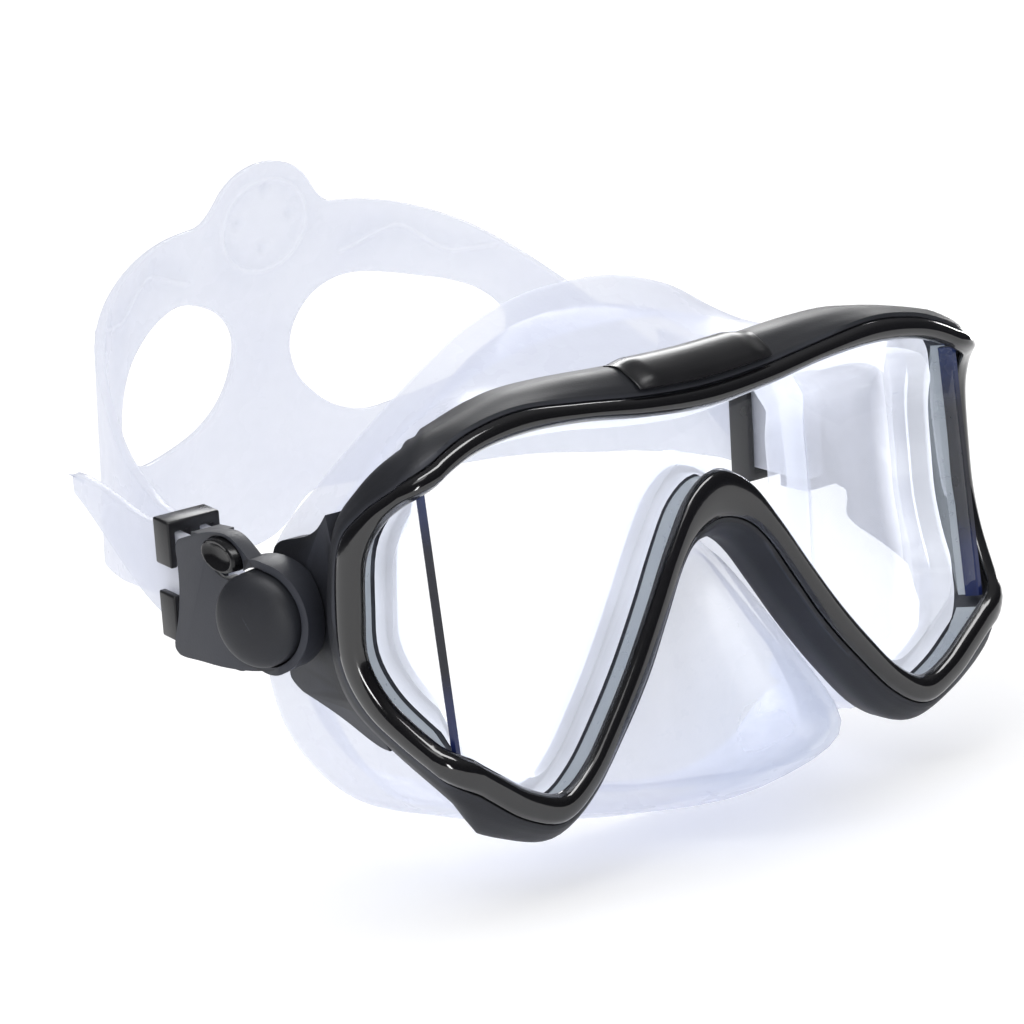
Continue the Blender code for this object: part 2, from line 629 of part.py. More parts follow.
# ---------------------------------------------------------------- strap path
def plan_curve():
    """Dense plan polyline of half the strap, rear centre to roller, and its lengths."""
    x, y = ROLLER_X - WRAP_R, buckle_point(1, ROLLER_BACK, STRAP_UP, 0)[1]
    straight = [(x - STRAP_SLOPE * back, y + back) for back in (24, 12, 0)]
    mirrored = [(-x, y) for x, y in ARM_PLAN[2:0:-1]]
    control = mirrored + ARM_PLAN + straight
    first = len(mirrored)
    spans = len(control) - 1 - first
    points = np.array([spline(control, first + t, False)
                       for t in np.linspace(0, spans, 60 * spans + 1)])
    return points, np.r_[0, np.cumsum(np.linalg.norm(np.diff(points, axis=0), axis=1))]


PLAN, PLAN_LENGTHS = plan_curve()
ARM_LEN = float(PLAN_LENGTHS[-1])
WRAP_LEN = math.pi * WRAP_R
TAIL_START = ARM_LEN + WRAP_LEN
STRAP_LEN = TAIL_START + TAIL_LEN


def plan_at(dist):
    return (np.interp(dist, PLAN_LENGTHS, PLAN[:, 0]),
            np.interp(dist, PLAN_LENGTHS, PLAN[:, 1]))


def arm_point(side, dist, height, proud):
    x, y = plan_at(dist)
    step = 0.6
    x0, y0 = plan_at(max(dist - step, 0))
    x1, y1 = plan_at(min(dist + step, ARM_LEN))
    run_x, run_y = x1 - x0, y1 - y0
    if dist < step:
        run_y = 0.0   # square to the centre plane
    run = math.hypot(run_x, run_y)
    weight = smooth(dist / (ARM_LEN - LEAN_FADE))
    lean = REAR_LEAN + (PITCH - REAR_LEAN) * weight
    line = PIVOT_Z + (y - PIVOT_Y) * math.tan(PITCH) + STRAP_UP / math.cos(PITCH)
    z = REAR_Z + (line - REAR_Z) * weight
    return (side * (x - run_y / run * proud),
            y + run_x / run * proud - height * math.sin(lean),
            z + height * math.cos(lean))


def strap_point(along, height, proud):
    """Strap point: along from the rear centre, height across, proud of the mid face."""
    side, dist = (-1.0 if along < 0 else 1.0), abs(along)
    if dist <= ARM_LEN:
        return arm_point(side, dist, height, proud)
    if dist <= TAIL_START:
        angle = (dist - ARM_LEN) / WRAP_R
        radius = WRAP_R - proud
        return buckle_point(side, ROLLER_BACK - radius * math.sin(angle), STRAP_UP + height,
                            ROLLER_X - radius * math.cos(angle))
    tail = dist - TAIL_START
    rise = TAIL_RISE * smooth((tail - TAIL_RISE_START) / (TAIL_LEN - TAIL_RISE_START))
    if tail < TAIL_BEND:
        drift = -STRAP_SLOPE * tail
    else:
        drift = -STRAP_SLOPE * TAIL_BEND + (tail - TAIL_BEND) * 0.02
    return buckle_point(side, ROLLER_BACK + tail, STRAP_UP + height + rise,
                        ROLLER_X + WRAP_R - proud + drift)


# ---------------------------------------------------------------- strap outline
def band_top(dist):
    starts = [point[0] for point in PAD_TOP]
    i = np.searchsorted(starts, dist, side="right") - 1
    share = (dist - starts[i]) / (starts[i + 1] - starts[i])
    return spline(PAD_TOP, i + share, False)[1]


def pad_top(dist):
    """Top edge: round lobe, its foot, then the narrowing band."""
    if dist < LOBE_END:
        return LOBE_UP + math.sqrt(LOBE_R ** 2 - dist * dist)
    if dist < LOBE_FOOT:
        # Cubic from the lobe's height and slope to the band's.
        width = LOBE_FOOT - LOBE_END
        t = (dist - LOBE_END) / width
        drop = math.sqrt(LOBE_R ** 2 - LOBE_END ** 2)
        return ((LOBE_UP + drop) * (1 + 2 * t) * (1 - t) ** 2
                - LOBE_END / drop * width * t * (1 - t) ** 2
                + band_top(LOBE_FOOT) * t * t * (3 - 2 * t) + 0.06 * width * t * t * (1 - t))
    return band_top(dist) if dist < PAD_END else STRAP_HALF


def pad_edges(along):
    """Top and bottom edge of the flattened strap."""
    dist = abs(along)
    taper = dist - TAIL_START - TAIL_TAPER_START
    if taper > 0:
        t = taper / (TAIL_LEN - TAIL_TAPER_START)
        return STRAP_HALF - 1.2 * t ** 3, -STRAP_HALF + 13.4 * t ** 1.25
    top = pad_top(dist)
    middle = PAD_MID * (1 - smooth((dist - 30) / 75))
    return top, 2 * middle - top - 4 * (1 - smooth((dist - 40) / 60))


def strap_stations():
    half = sorted(set([round(x, 4) for x in LOBE_STATIONS]
                      + list(np.arange(PAD_STEPS_START, PAD_END, PAD_STEP))
                      + list(np.arange(PAD_END, ARM_LEN - 1, ARM_STEP))
                      + list(ARM_LEN + WRAP_LEN * np.arange(WRAP_STEPS + 1) / WRAP_STEPS)
                      + list(np.arange(TAIL_START + ARM_STEP, STRAP_LEN - 2, ARM_STEP))
                      + [STRAP_LEN]))
    return [-x for x in reversed(half) if x > 0] + half


def grid_points(holes):
    """Grid inside the pad, clear of its edges and openings."""
    for x in np.arange(-GRID_HALF + GRID / 2, GRID_HALF, GRID):
        top, bottom = pad_edges(x)
        for y in np.arange(-60, 60, GRID):
            if not bottom + GRID * 0.45 < y < top - GRID * 0.45:
                continue
            if any(in_polygon((x, y), hole) or
                   min((x - hx) ** 2 + (y - hy) ** 2 for hx, hy in hole) < (GRID * 0.5) ** 2
                   for hole in holes):
                continue
            yield (x, y)


def strap_layout():
    """Flattened strap: triangulation points and edges, border and openings."""
    stations = strap_stations()
    points, edges = [], []

    def add(point):
        points.append(Vector((float(point[0]), float(point[1]))))
        return len(points) - 1

    bottom_ids = [add((s, pad_edges(s)[1])) for s in stations]
    top_ids = [add((s, pad_edges(s)[0])) for s in reversed(stations)]
    ring = bottom_ids + top_ids
    edges += pairs(ring)
    holes = []
    for side, shape in ((1, OPENING_LEFT), (-1, OPENING)):
        hole = [spline(shape, len(shape) * k / OPENING_COUNT, True) * (side, 1)
                for k in range(OPENING_COUNT)]
        edges += pairs([add(point) for point in hole])
        holes.append([tuple(point) for point in hole])
    for k, s in enumerate(stations):
        if abs(s) > GRID_HALF:
            top, bottom = pad_edges(s)
            middle = [add((s, bottom + (top - bottom) * j / BAND_ROWS))
                      for j in range(1, BAND_ROWS)]
            chain = [bottom_ids[k]] + middle + [top_ids[len(stations) - 1 - k]]
            edges += list(zip(chain, chain[1:]))
    for point in grid_points(holes):
        add(point)
    return points, edges, [tuple(points[i]) for i in ring], holes


def build_strap(mat):
    """Flattened strap triangulated between its edges and openings, then wrapped."""
    points, edges, border, holes = strap_layout()
    flat, triangles, _ = triangulate(points, edges, 1e-5, border, holes)
    uses = {}
    for face in triangles:
        for a, b in pairs(face):
            uses.setdefault((min(a, b), max(a, b)), []).append((a, b))
    rim = [directed[0] for directed in uses.values() if len(directed) == 1]
    n = len(flat)
    verts = [strap_point(v[0], v[1], proud) for proud in (STRAP_T / 2, -STRAP_T / 2)
             for v in flat]
    faces = triangles + [tuple(i + n for i in reversed(face)) for face in triangles]
    faces += [(b, a, a + n, b + n) for a, b in rim]
    used = sorted({i for face in faces for i in face})
    renumber = {i: k for k, i in enumerate(used)}
    faces = [tuple(renumber[i] for i in face) for face in faces]
    strap = make("strap", [verts[i] for i in used], faces, mat, 60)
    set_origin(strap, (0.0, PIVOT_Y, PIVOT_Z))


# ---------------------------------------------------------------- buckle parts
def revolve(profile, side, count, centre, axis, across, third):
    """Solid of revolution; profile is (distance along axis, radius)."""
    centre, axis, across, third = (np.array(v, float) for v in (centre, axis, across, third))
    angles = [2 * math.pi * j / count for j in range(count)]
    rings = [[(centre + axis * dist + across * (radius * math.cos(t))
               + third * (radius * math.sin(t))) * (side, 1, 1) for t in angles]
             for dist, radius in profile]
    return loft(rings, closed_path=False)


def tilted(profile, side):
    """Solid of revolution about the cap's tilted axis."""
    cos, sin = math.cos(CAP_TILT), math.sin(CAP_TILT)
    middle = (LUG_OUT + PLATE_IN + 0.7) / 2
    centre = (middle + 7.25 * cos, PIVOT_Y - 7.5 * sin, PIVOT_Z + 0.8)
    return revolve(profile, side, CAP_COUNT, centre,
                   axis=(cos, -sin, 0), across=(-sin, -cos, 0), third=(0, 0, 1))


def build_buckle_body(side, name, mat):
    """Plate with the cap's cup, the hub, two blocks, and its notches and bores."""
    cos, sin = math.cos(PITCH), math.sin(PITCH)
    plate = [(cos * y + sin * z, -sin * y + cos * z) for y, z in PLATE_OUTLINE]
    body = make(f"buckle_body_{name}", *prism(plate, PLATE_IN, PLATE_OUT, side))
    cup = make("cup", *tilted([(-6.8, CUP_R), (-0.5, CUP_R)], side))
    combine(cup, "INTERSECT", [prism(WHOLE_PLATE, HUB_IN, PLATE_OUT, side)])
    boolean(body, cup, "UNION")
    combine(body, "UNION", [
        prism(oval(HUB_COUNT, HUB_R, HUB_R), HUB_IN, PLATE_IN + 0.5, side),
        prism(BLOCK_HIGH, BLOCK_IN, PLATE_IN + 0.6, side),
        prism(BLOCK_LOW, BLOCK_IN, PLATE_IN + 0.6, side),
    ])
    top_notch = oval(BUTTON_COUNT, 6.6, 4.1, (UPPER_BUTTON_BACK, 9.8))
    combine(body, "DIFFERENCE", [
        prism(oval(PIN_COUNT, PIN_HOLE_R, PIN_HOLE_R), LUG_OUT - 1, PLATE_OUT + 2, side),
        prism(top_notch, POCKET_FLOOR, PLATE_OUT + 3, side),
        prism(LOW_NOTCH, POCKET_FLOOR, PLATE_OUT - 0.7, side),
        prism(SPRING_POCKET, POCKET_FLOOR, PLATE_IN + 2.3, side),
        tilted([(-CAP_DEEP - 0.3, CUP_BORE), (9.0, CUP_BORE)], side),
    ])
    finish_mesh(body.data, mat)
    set_origin(body, (side * (LUG_OUT + PLATE_IN) / 2, PIVOT_Y, PIVOT_Z))


def build_pivot_cap(side, name, mat):
    """Domed cap with a short skirt wall."""
    profile = [(-CAP_DEEP, CAP_R - 0.3), (-CAP_DEEP + 0.3, CAP_R), (0.0, CAP_R)]
    for k in range(1, DOME_RINGS):
        angle = math.pi / 2 * k / DOME_RINGS
        profile.append((CAP_H * math.sin(angle), CAP_R * math.cos(angle)))
    profile.append((CAP_H, 0.4))
    make(f"pivot_cap_{name}", *tilted(profile, side), mat, 40)


def build_pivot_pin(side, name, mat):
    """Pin through lug and hub, its head inside the lug."""
    profile = [(LUG_IN - 1.4, PIN_HEAD_R), (LUG_IN - JOINT_GAP, PIN_HEAD_R),
               (LUG_IN - JOINT_GAP, PIN_R), (PLATE_IN - 1.5, PIN_R)]
    body = revolve(profile, side, PIN_COUNT, centre=(0, PIVOT_Y, PIVOT_Z),
                   axis=(1, 0, 0), across=(0, 1, 0), third=(0, 0, 1))
    make(f"pivot_pin_{name}", *body, mat, 40)


def build_buttons(side, name, mat):
    upper_centre = (UPPER_BUTTON_BACK, UPPER_BUTTON_UP)
    upper = oval(BUTTON_COUNT, 5.8, 3.1, upper_centre)
    # level, outline, outer face, origin in the buckle frame
    for level, points, outer, origin in (
            ("upper", upper, PLATE_OUT + 1.2, (*upper_centre, PLATE_OUT)),
            ("lower", LOWER_BUTTON, PLATE_OUT - 1.0, (13.2, -10.2, PLATE_OUT - 2.0))):
        button = make(f"release_button_{level}_{name}",
                      *prism(points, PLATE_IN - 0.1, outer, side), mat, 40)
        set_origin(button, buckle_point(side, *origin))


def build_spring(side, name, mat):
    """Small coil in the plate's pocket between the two buttons."""
    rings = []
    steps = SPRING_TURNS * SPRING_SEGMENTS
    for k in range(steps + 1):
        turn = 2 * math.pi * k / SPRING_SEGMENTS
        up = SPRING_LOW + (SPRING_HIGH - SPRING_LOW) * k / steps
        ring = []
        for j in range(WIRE_COUNT):
            angle = 2 * math.pi / WIRE_COUNT * j + math.pi / 4
            radius = SPRING_R + SPRING_WIRE_R * math.cos(angle)
            ring.append(buckle_point(side, SPRING_BACK + radius * math.cos(turn),
                                     up + SPRING_WIRE_R * math.sin(angle),
                                     SPRING_OUT + radius * math.sin(turn)))
        rings.append(ring)
    spring = make(f"button_spring_{name}", *loft(rings, closed_path=False), mat, 60)
    set_origin(spring, buckle_point(side, SPRING_BACK, -0.8, SPRING_OUT))


def build_roller(side, name, mat):
    """Plain roller on the strap's turning axis, with end journals."""
    low, high, journal = -10.2, 8.4, 0.4
    profile = [(low - journal, JOURNAL_R), (low, JOURNAL_R), (low, ROLLER_R),
               (high, ROLLER_R), (high, JOURNAL_R), (high + journal, JOURNAL_R)]
    cos, sin = math.cos(PITCH), math.sin(PITCH)
    body = revolve(profile, side, ROLLER_COUNT, buckle_point(1, ROLLER_BACK, 0, ROLLER_X),
                   axis=(0, -sin, cos), across=(1, 0, 0), third=(0, cos, sin))
    roller = make(f"strap_roller_{name}", *body, mat, 40)
    set_origin(roller, buckle_point(side, ROLLER_BACK, 0.0, ROLLER_X))


def build_keeper(side, name, mat):
    """Rectangular loop with two slots; its outer bar is split at the middle."""
    def box(extra, low, high, inner, outer):
        """Box that follows the strap's slope; extra lengthens it at both ends."""
        corners = [(low, inner), (low, outer), (high, outer), (high, inner)]
        half = KEEPER_LEN / 2 + extra
        return slab(*([buckle_point(side, back, up, out - STRAP_SLOPE * (back - ROLLER_BACK))
                       for up, out in corners]
                      for back in (KEEPER_BACK - half, KEEPER_BACK + half)))
    low, high = STRAP_UP - STRAP_HALF - 0.5, STRAP_UP + STRAP_HALF + 0.5
    arm, tail = ROLLER_X - WRAP_R, ROLLER_X + WRAP_R
    gap = STRAP_T / 2 + 0.4
    wall = gap + KEEPER_WALL
    keeper = make(f"strap_keeper_{name}", *box(0, low - 2.2, high + 2.2, arm - wall, tail + wall))
    combine(keeper, "DIFFERENCE", [
        box(1, low, high, arm - gap, arm + gap),
        box(1, low, high, tail - gap, tail + gap),
        box(1, -3.6, 1.8, tail + gap - 0.5, tail + gap + 3),
    ])
    finish_mesh(keeper.data, mat)
    set_origin(keeper, buckle_point(side, KEEPER_BACK, STRAP_UP, ROLLER_X))


# ---------------------------------------------------------------- assembly
def build():
    clear_scene()
    gloss = material("gloss_black", colour=(0.012, 0.012, 0.014), roughness=0.12)
    satin = material("satin_black", colour=(0.02, 0.02, 0.022), roughness=0.45)
    glass = material("clear_glass", colour=(0.86, 0.92, 0.95), roughness=0.03, alpha=0.25)
    glue = material("black_adhesive", colour=(0.01, 0.012, 0.03), roughness=0.3)
    silicone = material("clear_silicone", colour=(0.82, 0.84, 0.92), roughness=0.3, alpha=0.6)
    steel = material("spring_steel", colour=(0.6, 0.6, 0.62), roughness=0.3, metallic=1.0)

    build_bezel(gloss)
    build_rear_frame(satin)
    build_bridge_clip(satin)
    build_front_lens(glass)
    build_skirt(silicone)
    build_strap(silicone)
    for side, name in SIDES:
        build_side_window(side, name, glass, glue)
        build_buckle_body(side, name, satin)
        build_pivot_cap(side, name, satin)
        build_pivot_pin(side, name, satin)
        build_buttons(side, name, satin)
        build_spring(side, name, steel)
        build_roller(side, name, satin)
        build_keeper(side, name, satin)


build()
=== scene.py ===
"""A diving mask with a folded three-window front, clear silicone skirt and head strap.

Design axes, in millimetres: x runs sideways with the "left" parts at +x, y runs back from
the front window to the strap, z runs up. row() turns design points into scene metres.
The window surface is also unrolled: `along` it from the centre, z up, `out` in front of it.
"""
import math

import bmesh
import bpy
import numpy as np
from mathutils import Matrix, Vector
from mathutils.geometry import delaunay_2d_cdt
from mathutils.kdtree import KDTree

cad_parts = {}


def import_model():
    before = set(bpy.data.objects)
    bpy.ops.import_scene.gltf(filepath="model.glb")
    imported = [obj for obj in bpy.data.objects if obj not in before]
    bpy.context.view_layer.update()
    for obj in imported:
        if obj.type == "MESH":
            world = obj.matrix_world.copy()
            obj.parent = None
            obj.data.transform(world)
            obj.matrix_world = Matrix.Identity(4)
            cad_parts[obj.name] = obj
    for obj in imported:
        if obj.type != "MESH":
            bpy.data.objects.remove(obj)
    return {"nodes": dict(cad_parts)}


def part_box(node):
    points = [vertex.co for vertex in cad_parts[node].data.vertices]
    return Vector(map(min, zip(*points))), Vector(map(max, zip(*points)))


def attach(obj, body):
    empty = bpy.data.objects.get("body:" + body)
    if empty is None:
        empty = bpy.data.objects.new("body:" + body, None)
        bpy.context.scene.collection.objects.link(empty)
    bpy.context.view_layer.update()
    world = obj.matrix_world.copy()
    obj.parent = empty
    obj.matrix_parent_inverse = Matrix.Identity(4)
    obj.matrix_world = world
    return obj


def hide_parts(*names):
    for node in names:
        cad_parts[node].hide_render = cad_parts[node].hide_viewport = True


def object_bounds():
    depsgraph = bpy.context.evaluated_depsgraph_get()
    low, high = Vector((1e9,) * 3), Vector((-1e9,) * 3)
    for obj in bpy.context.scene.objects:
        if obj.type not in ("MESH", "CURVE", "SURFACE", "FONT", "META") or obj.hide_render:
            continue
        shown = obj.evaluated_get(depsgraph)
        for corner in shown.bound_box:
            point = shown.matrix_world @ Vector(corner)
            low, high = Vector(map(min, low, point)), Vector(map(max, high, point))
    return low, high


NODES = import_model()["nodes"]
CAD_BOX = [[float(c) for c in p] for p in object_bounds()]

# ---------------------------------------------------------------- dimensions (mm)
MM = 0.001
ORIGIN_Z = 19.0          # height of the scene origin in design coordinates
LENS_HALF = 63.0         # half width of the front window, to the fold line
FOLD = math.radians(62)  # side windows fold back by this much
FILLET = 3.5             # inner bend radius of the frame at the fold
GLASS = 4.0              # window thickness
LENS_LAP = 2.2           # window edge hidden under the bezel
MEET = 1.2               # window edge to the fold line, at each joint
MITRE_SPAN = 5.0         # width over which a window's back face slopes to the joint
PIVOT_Y, PIVOT_Z = 36.8, -0.6
PITCH = math.radians(7)  # strap arms and buckles rise towards the back
LUG_IN, LUG_OUT = 65.7, 69.7
LUG_R = 9.2              # rounded rear end of the lug, about the pivot
PLATE_IN, PLATE_OUT = 75.0, 78.0
HUB_IN = LUG_OUT + 0.4   # inner face of the buckle's hub
HUB_R, PIN_HOLE_R = 8.6, 2.3
CAP_TILT = math.radians(22)   # the cap and its cup face a little forwards
CAP_R, CAP_H, CAP_DEEP = 8.9, 3.6, 5.2
CUP_R, CUP_BORE = 10.8, 9.3
ROLLER_A, ROLLER_X = 22.5, 70.7
STRAP_T, STRAP_HALF, WRAP_R = 2.0, 9.2, 2.8
STRAP_H = -0.9           # strap centre line in the buckle frame
TAIL_LEN = 50.0
REAR_Z, REAR_LEAN = 21.3, math.radians(19.7)   # strap at its rear centre
SKIRT_T = 2.0
KEEPER_A, KEEPER_LEN = 36.0, 6.0

# Stations round half of the window opening, from the top centre outwards, down and
# back up to the top of the nose arch: window opening, parting line, frame outline,
# each as (distance along the folded front, height).
STATIONS = [
    ((0, 25.1), (0, 29.4), (0, 34.8)),
    ((14, 26.2), (14, 30.2), (14.5, 35.2)),
    ((28, 28.2), (28, 32.0), (29, 36.0)),
    ((40, 28.9), (41, 33.3), (42, 36.0)),
    ((50, 28.0), (51.5, 32.0), (53, 34.2)),
    ((57, 25.8), (59.5, 29.0), (62.5, 31.0)),
    ((64, 21.8), (66.5, 24.4), (71, 27.2)),
    ((70, 17.8), (73.6, 20.3), (77.9, 22.4)),
    ((74.4, 11.5), (79.6, 14.2), (83.4, 15.9)),
    ((76.2, 1.5), (82.2, 1.0), (87, 1.5)),
    ((76.8, -6.5), (82.0, -8.5), (87, -9.5)),
    ((73.8, -13.6), (78.6, -16.2), (84.5, -17.0)),
    ((68.5, -19.3), (72.8, -22.3), (78, -24.5)),
    ((62, -24.8), (65.8, -28.2), (70.5, -31.5)),
    ((55.5, -30.0), (58.7, -34.3), (62.2, -38.6)),
    ((49.5, -34.4), (51.6, -39.6), (53.2, -43.6)),
    ((43.3, -36.5), (43.6, -42.2), (43.5, -46.4)),
    ((37.2, -32.6), (35.8, -37.8), (34.8, -42.0)),
    ((31, -25.2), (27.9, -28.9), (26.4, -32.3)),
    ((25, -17.0), (21.1, -20.0), (19.6, -22.6)),
    ((19, -7.6), (15.4, -10.6), (13.8, -13.2)),
    ((13, 2.2), (10.2, -2.0), (9.0, -5.6)),
    ((7.0, 10.2), (5.6, 2.6), (5.0, -1.4)),
    ((0, 13.7), (0, 4.4), (0, 0.2)),
]
HALF = len(STATIONS) - 1      # loop position of the nose arch's top
LOOP = 2 * HALF
FOLD_CROSSINGS = (5.9, 12.85)  # loop positions where the outlines cross the fold
CROSSING_REACH = 1.1           # finer samples this far either side of a crossing

# Frame cross sections round the opening: (band, shift, out), see outline().
BEZEL_FACE = [(0, 0.15, 2.4), (0, 0.9, 3.7), (0.45, 0, 4.3), (0.8, 0, 3.8), (1, -0.15, 2.8)]
BEZEL_BACK = [(1, -0.15, 1.75), (0.5, 0, 1.7), (0, 0.0, 1.7)]
REAR_FRONT = [(0, 3.0, 0.5), (1, 0.15, 0.5), (1, 0.15, 2.3)]
REAR_WALL = [(1, 0.9, 2.0), (1.55, 0, 0.3), (2, 0, -3.5), (2, 0, -9.2)]
REAR_BACK = [(1.8, 0, -10.5), (0, 0.35, -10.5), (0, 0.35, -9.0), (0, 3.0, -9.0)]
CLIP_LOW = [(1, 1.3, 2.6), (1.55, 0.4, 0.85), (2, 0.4, -3.3), (2, 0.4, -7.4)]
CLIP_TOP = [(2, 1.15, -7.4), (2, 1.25, -3.0), (1.55, 1.15, 1.6), (1, 1.7, 3.3)]
CLIP_CENTRE, CLIP_HALF, CLIP_STEPS = 0.05, 1.1, 60   # in loop positions
CLIP_SINK = 0.06              # shift of the cover's underside at its two ends

# Skirt lip round the opening, as (shift, out) at band 0; the last point is its rear edge.
SKIRT_LIP = [(-2.0, -4.5), (1.6, -4.5), (1.6, -8.4), (-0.7, -8.4), (-0.7, -11.4),
             (-2.3, -12.8)]

# Skirt: face edge (x, y, z) per station.
FACE_EDGE = [
    (0, 37.7, 47.2), (12, 37.8, 46.3), (24, 38.5, 42.4), (33, 39.6, 37.2),
    (42, 42, 30.4), (49, 45.5, 23.8), (55, 49, 17.5), (60, 52.5, 11.5),
    (62.6, 55.5, 5), (64.0, 57.2, -3), (64.5, 58.5, -11), (64, 59.5, -19),
    (62.5, 59.5, -27), (60, 58, -34), (56.8, 54.5, -40.0), (53, 51, -44.0),
    (48, 47.5, -46.6), (43, 43, -48.0), (37.5, 38.5, -49.2), (31, 34.5, -50.6),
    (24.5, 31.5, -52.2), (17.5, 29.7, -53.8), (9, 28.8, -55.4), (0, 28.5, -56.2),
]
# Outward bulge of the skirt wall at some stations, and its share along the wall.
BULGE_STATIONS = (0, 3, 5, 7, 9, 11, 12, 14, 16)
BULGE = (-1.8, -2.4, -2.0, -1.2, -0.6, -0.4, -0.4, -0.2, 0.2)
BULGE_SHARES = ((0.2, 0.7), (0.4, 1.0), (0.6, 1.0), (0.8, 0.6))
# Way points (x, y, z) of the nose pocket, front to back, keyed by station.
POCKET = {
    17: ((34.5, 13.8, -43.2), (35.3, 16.6, -44.6), (37, 21, -46.6), (39.5, 29, -48)),
    18: ((25.4, 11.7, -34.6), (26.1, 11.4, -38.6), (28.2, 14, -43), (32, 23, -47.2)),
    19: ((18.2, 8.4, -24.6), (19.2, 5.0, -33.0), (21.6, 6.5, -41), (25.5, 17, -47)),
    20: ((12.4, 6.4, -16.6), (14.4, 0.2, -28.5), (17.6, -1.5, -39.5), (20, 11, -47.8)),
    21: ((8.0, 4.8, -10.2), (11.4, -4.6, -24.5), (14.0, -9.0, -37.6), (15, 5, -47.6)),
    22: ((4.4, 3.4, -6.6), (7.2, -9.4, -21.0), (9.6, -18.2, -35.8), (8.4, 1, -48.2)),
    23: ((0, 2.8, -5.4), (0, -11.6, -20.0), (0, -21.4, -35.2), (0, 0, -48.8)),
}
SKIRT_STEPS = 24

# Strap pad, flattened as (along, height): top edge of half the band, and one opening a side.
PAD_TOP = [(16, 39.2), (26, 38.4), (37, 36), (49, 32), (59, 27.5), (69, 23),
           (80, 18.5), (92, 13.6), (104, 10.4), (115, 9.2)]
LOBE_C, LOBE_R = 37.5, 13.4        # round lobe at the top centre
LOBE_END, LOBE_FOOT = 11.6, 17.5   # the lobe's round edge eases into the band
PAD_MID = 6.5
OPENING = [(6.0, 6), (6.4, 12), (10, 17.5), (16, 21.0), (22, 22.3), (28, 21.0),
           (35, 17.8), (41, 13.4), (44.8, 7), (45, 0), (41.2, -6.3),
           (34, -10.8), (25.5, -11.4), (17, -9.6), (11.4, -6), (7.8, -0.8)]
OPENING_LEFT = [(8.4, 6), (9.3, 12), (12.8, 17.4), (18, 20.6), (24, 21.6), (31, 20.9),
                (38, 19.8), (45, 18.8), (52, 16.8), (57.5, 12.8), (58, 7.5), (54, 1.5),
                (47, -3.6), (39.5, -7.4), (33, -10.0), (27, -11.6), (20.5, -10.0),
                (15.3, -6.3), (10.6, -0.8)]
OPENING_STEPS = 96
# Relief moulded in the pad: dimples inside a raised ring, and a raised wave on each side.
DIMPLES = [(0, 44.6), (6.7, 38), (-6.7, 38), (0, 31.2)]
DIMPLE_R, DIMPLE_DEEP = 2.4, 0.62
RING_C, RING_R = (0, 36.2), 10.6
WAVE = [(20, 27.0), (25, 29), (31, 31.5), (35, 31.3), (44, 26), (50, 26.2), (56, 27.4)]
RIDGE_HALF, RIDGE_HIGH = 0.9, 0.55
RIDGE_ROWS = (-1.0, -0.5, 0, 0.5, 1.0)   # mesh rows across a ridge
# Plan (x, y) of half the strap, from the rear centre forwards.
ARM_PLAN = [(0, 158.3), (27, 154.4), (49.5, 138), (61.2, 113), (65.6, 92)]

# Lug, in side view (y, z), below and above its rounded end; its taper in front view (x, z).
LUG_LOW = [(16.8, -25.6), (19.6, -25.2), (23.0, -23.6), (26.4, -21.5), (30.3, -19.5),
           (34.6, -17.7), (39.0, -16.0), (41.5, -14.4), (42.0, -13.0), (41.2, -10.6)]
LUG_HIGH = [(41.9, 8.4), (41.6, 9.9), (40.4, 11.3), (37.9, 12.4), (33.2, 13.2), (28.9, 14.1),
            (25.0, 15.8), (21.6, 18.6)]
LUG_TAPER = [(80, -15.0), (70.2, -15.0), (65.9, -26.5), (65.9, -40), (80, -40)]
# Buckle plate, drawn level as (y, z) from the pivot.
PLATE_OUTLINE = [(-4.3, -8.6), (2.3, -9.8), (9, -10.4), (16, -10.6), (23.5, -10.4),
                 (29.2, -10.3), (31.4, -9.6), (31.9, -7.8), (29, -2.5), (27.1, 2.9),
                 (26.3, 8.0), (26.2, 10.8), (25.2, 12.6), (22, 13.6), (17.6, 14.6),
                 (13.5, 15.3), (8.2, 15.6), (4.8, 14.8), (1.4, 12.7), (-3, 9.3),
                 (-7, 6.2), (-9.1, 2.0), (-9.0, -3.0), (-7, -6.6)]
# Outlines in the buckle frame (back, up): the legs that hold the roller, buttons, cuts.
LEGS = ([(20.2, 9.0), (25.2, 9.0), (25.2, 10.9), (20.2, 11.4)],
        [(20.2, -13.2), (28.6, -13.6), (28.6, -10.9), (20.2, -10.9)])
LEG_DEEP = 5.8
UPPER_CENTRE, LOWER_CENTRE = (9.8, 10.4), (13.2, -10.3)
LOWER_BUTTON = [(7.6, -8.2), (18.8, -8.2), (19.2, -9.6), (18.6, -11.3), (16.6, -12.5),
                (9.6, -12.5), (7.6, -11.3), (7.2, -9.6)]
LOW_NOTCH = [(6.7, -6.5), (19.7, -6.5), (19.7, -16), (6.7, -16)]
INNER_SLOT = [(11.0, -7.2), (13.8, -7.2), (13.8, 7.5), (11.0, 7.5)]
# Button dish rings, rim to middle: share of the outline, height as a share of the dish.
DISH_RINGS = [(0.93, 0.4), (0.86, 0.5), (0.78, 0.3), (0.6, -0.55), (0.4, -0.9), (0.2, -1)]
ROUND_STEPS = 96         # segments round the cap and its cup
DOME_STEPS = 18


# ---------------------------------------------------------------- mesh helpers
def row(point):
    return (point[0] * MM, point[1] * MM, (point[2] - ORIGIN_Z) * MM)


def face_out(bm):
    """Consistent normals, pointing out of the body."""
    bmesh.ops.recalc_face_normals(bm, faces=bm.faces)
    if bm.calc_volume(signed=True) < 0:
        bmesh.ops.reverse_faces(bm, faces=bm.faces)


def shade(mesh, angle):
    mesh.shade_smooth()
    mesh.set_sharp_from_angle(angle=math.radians(angle))


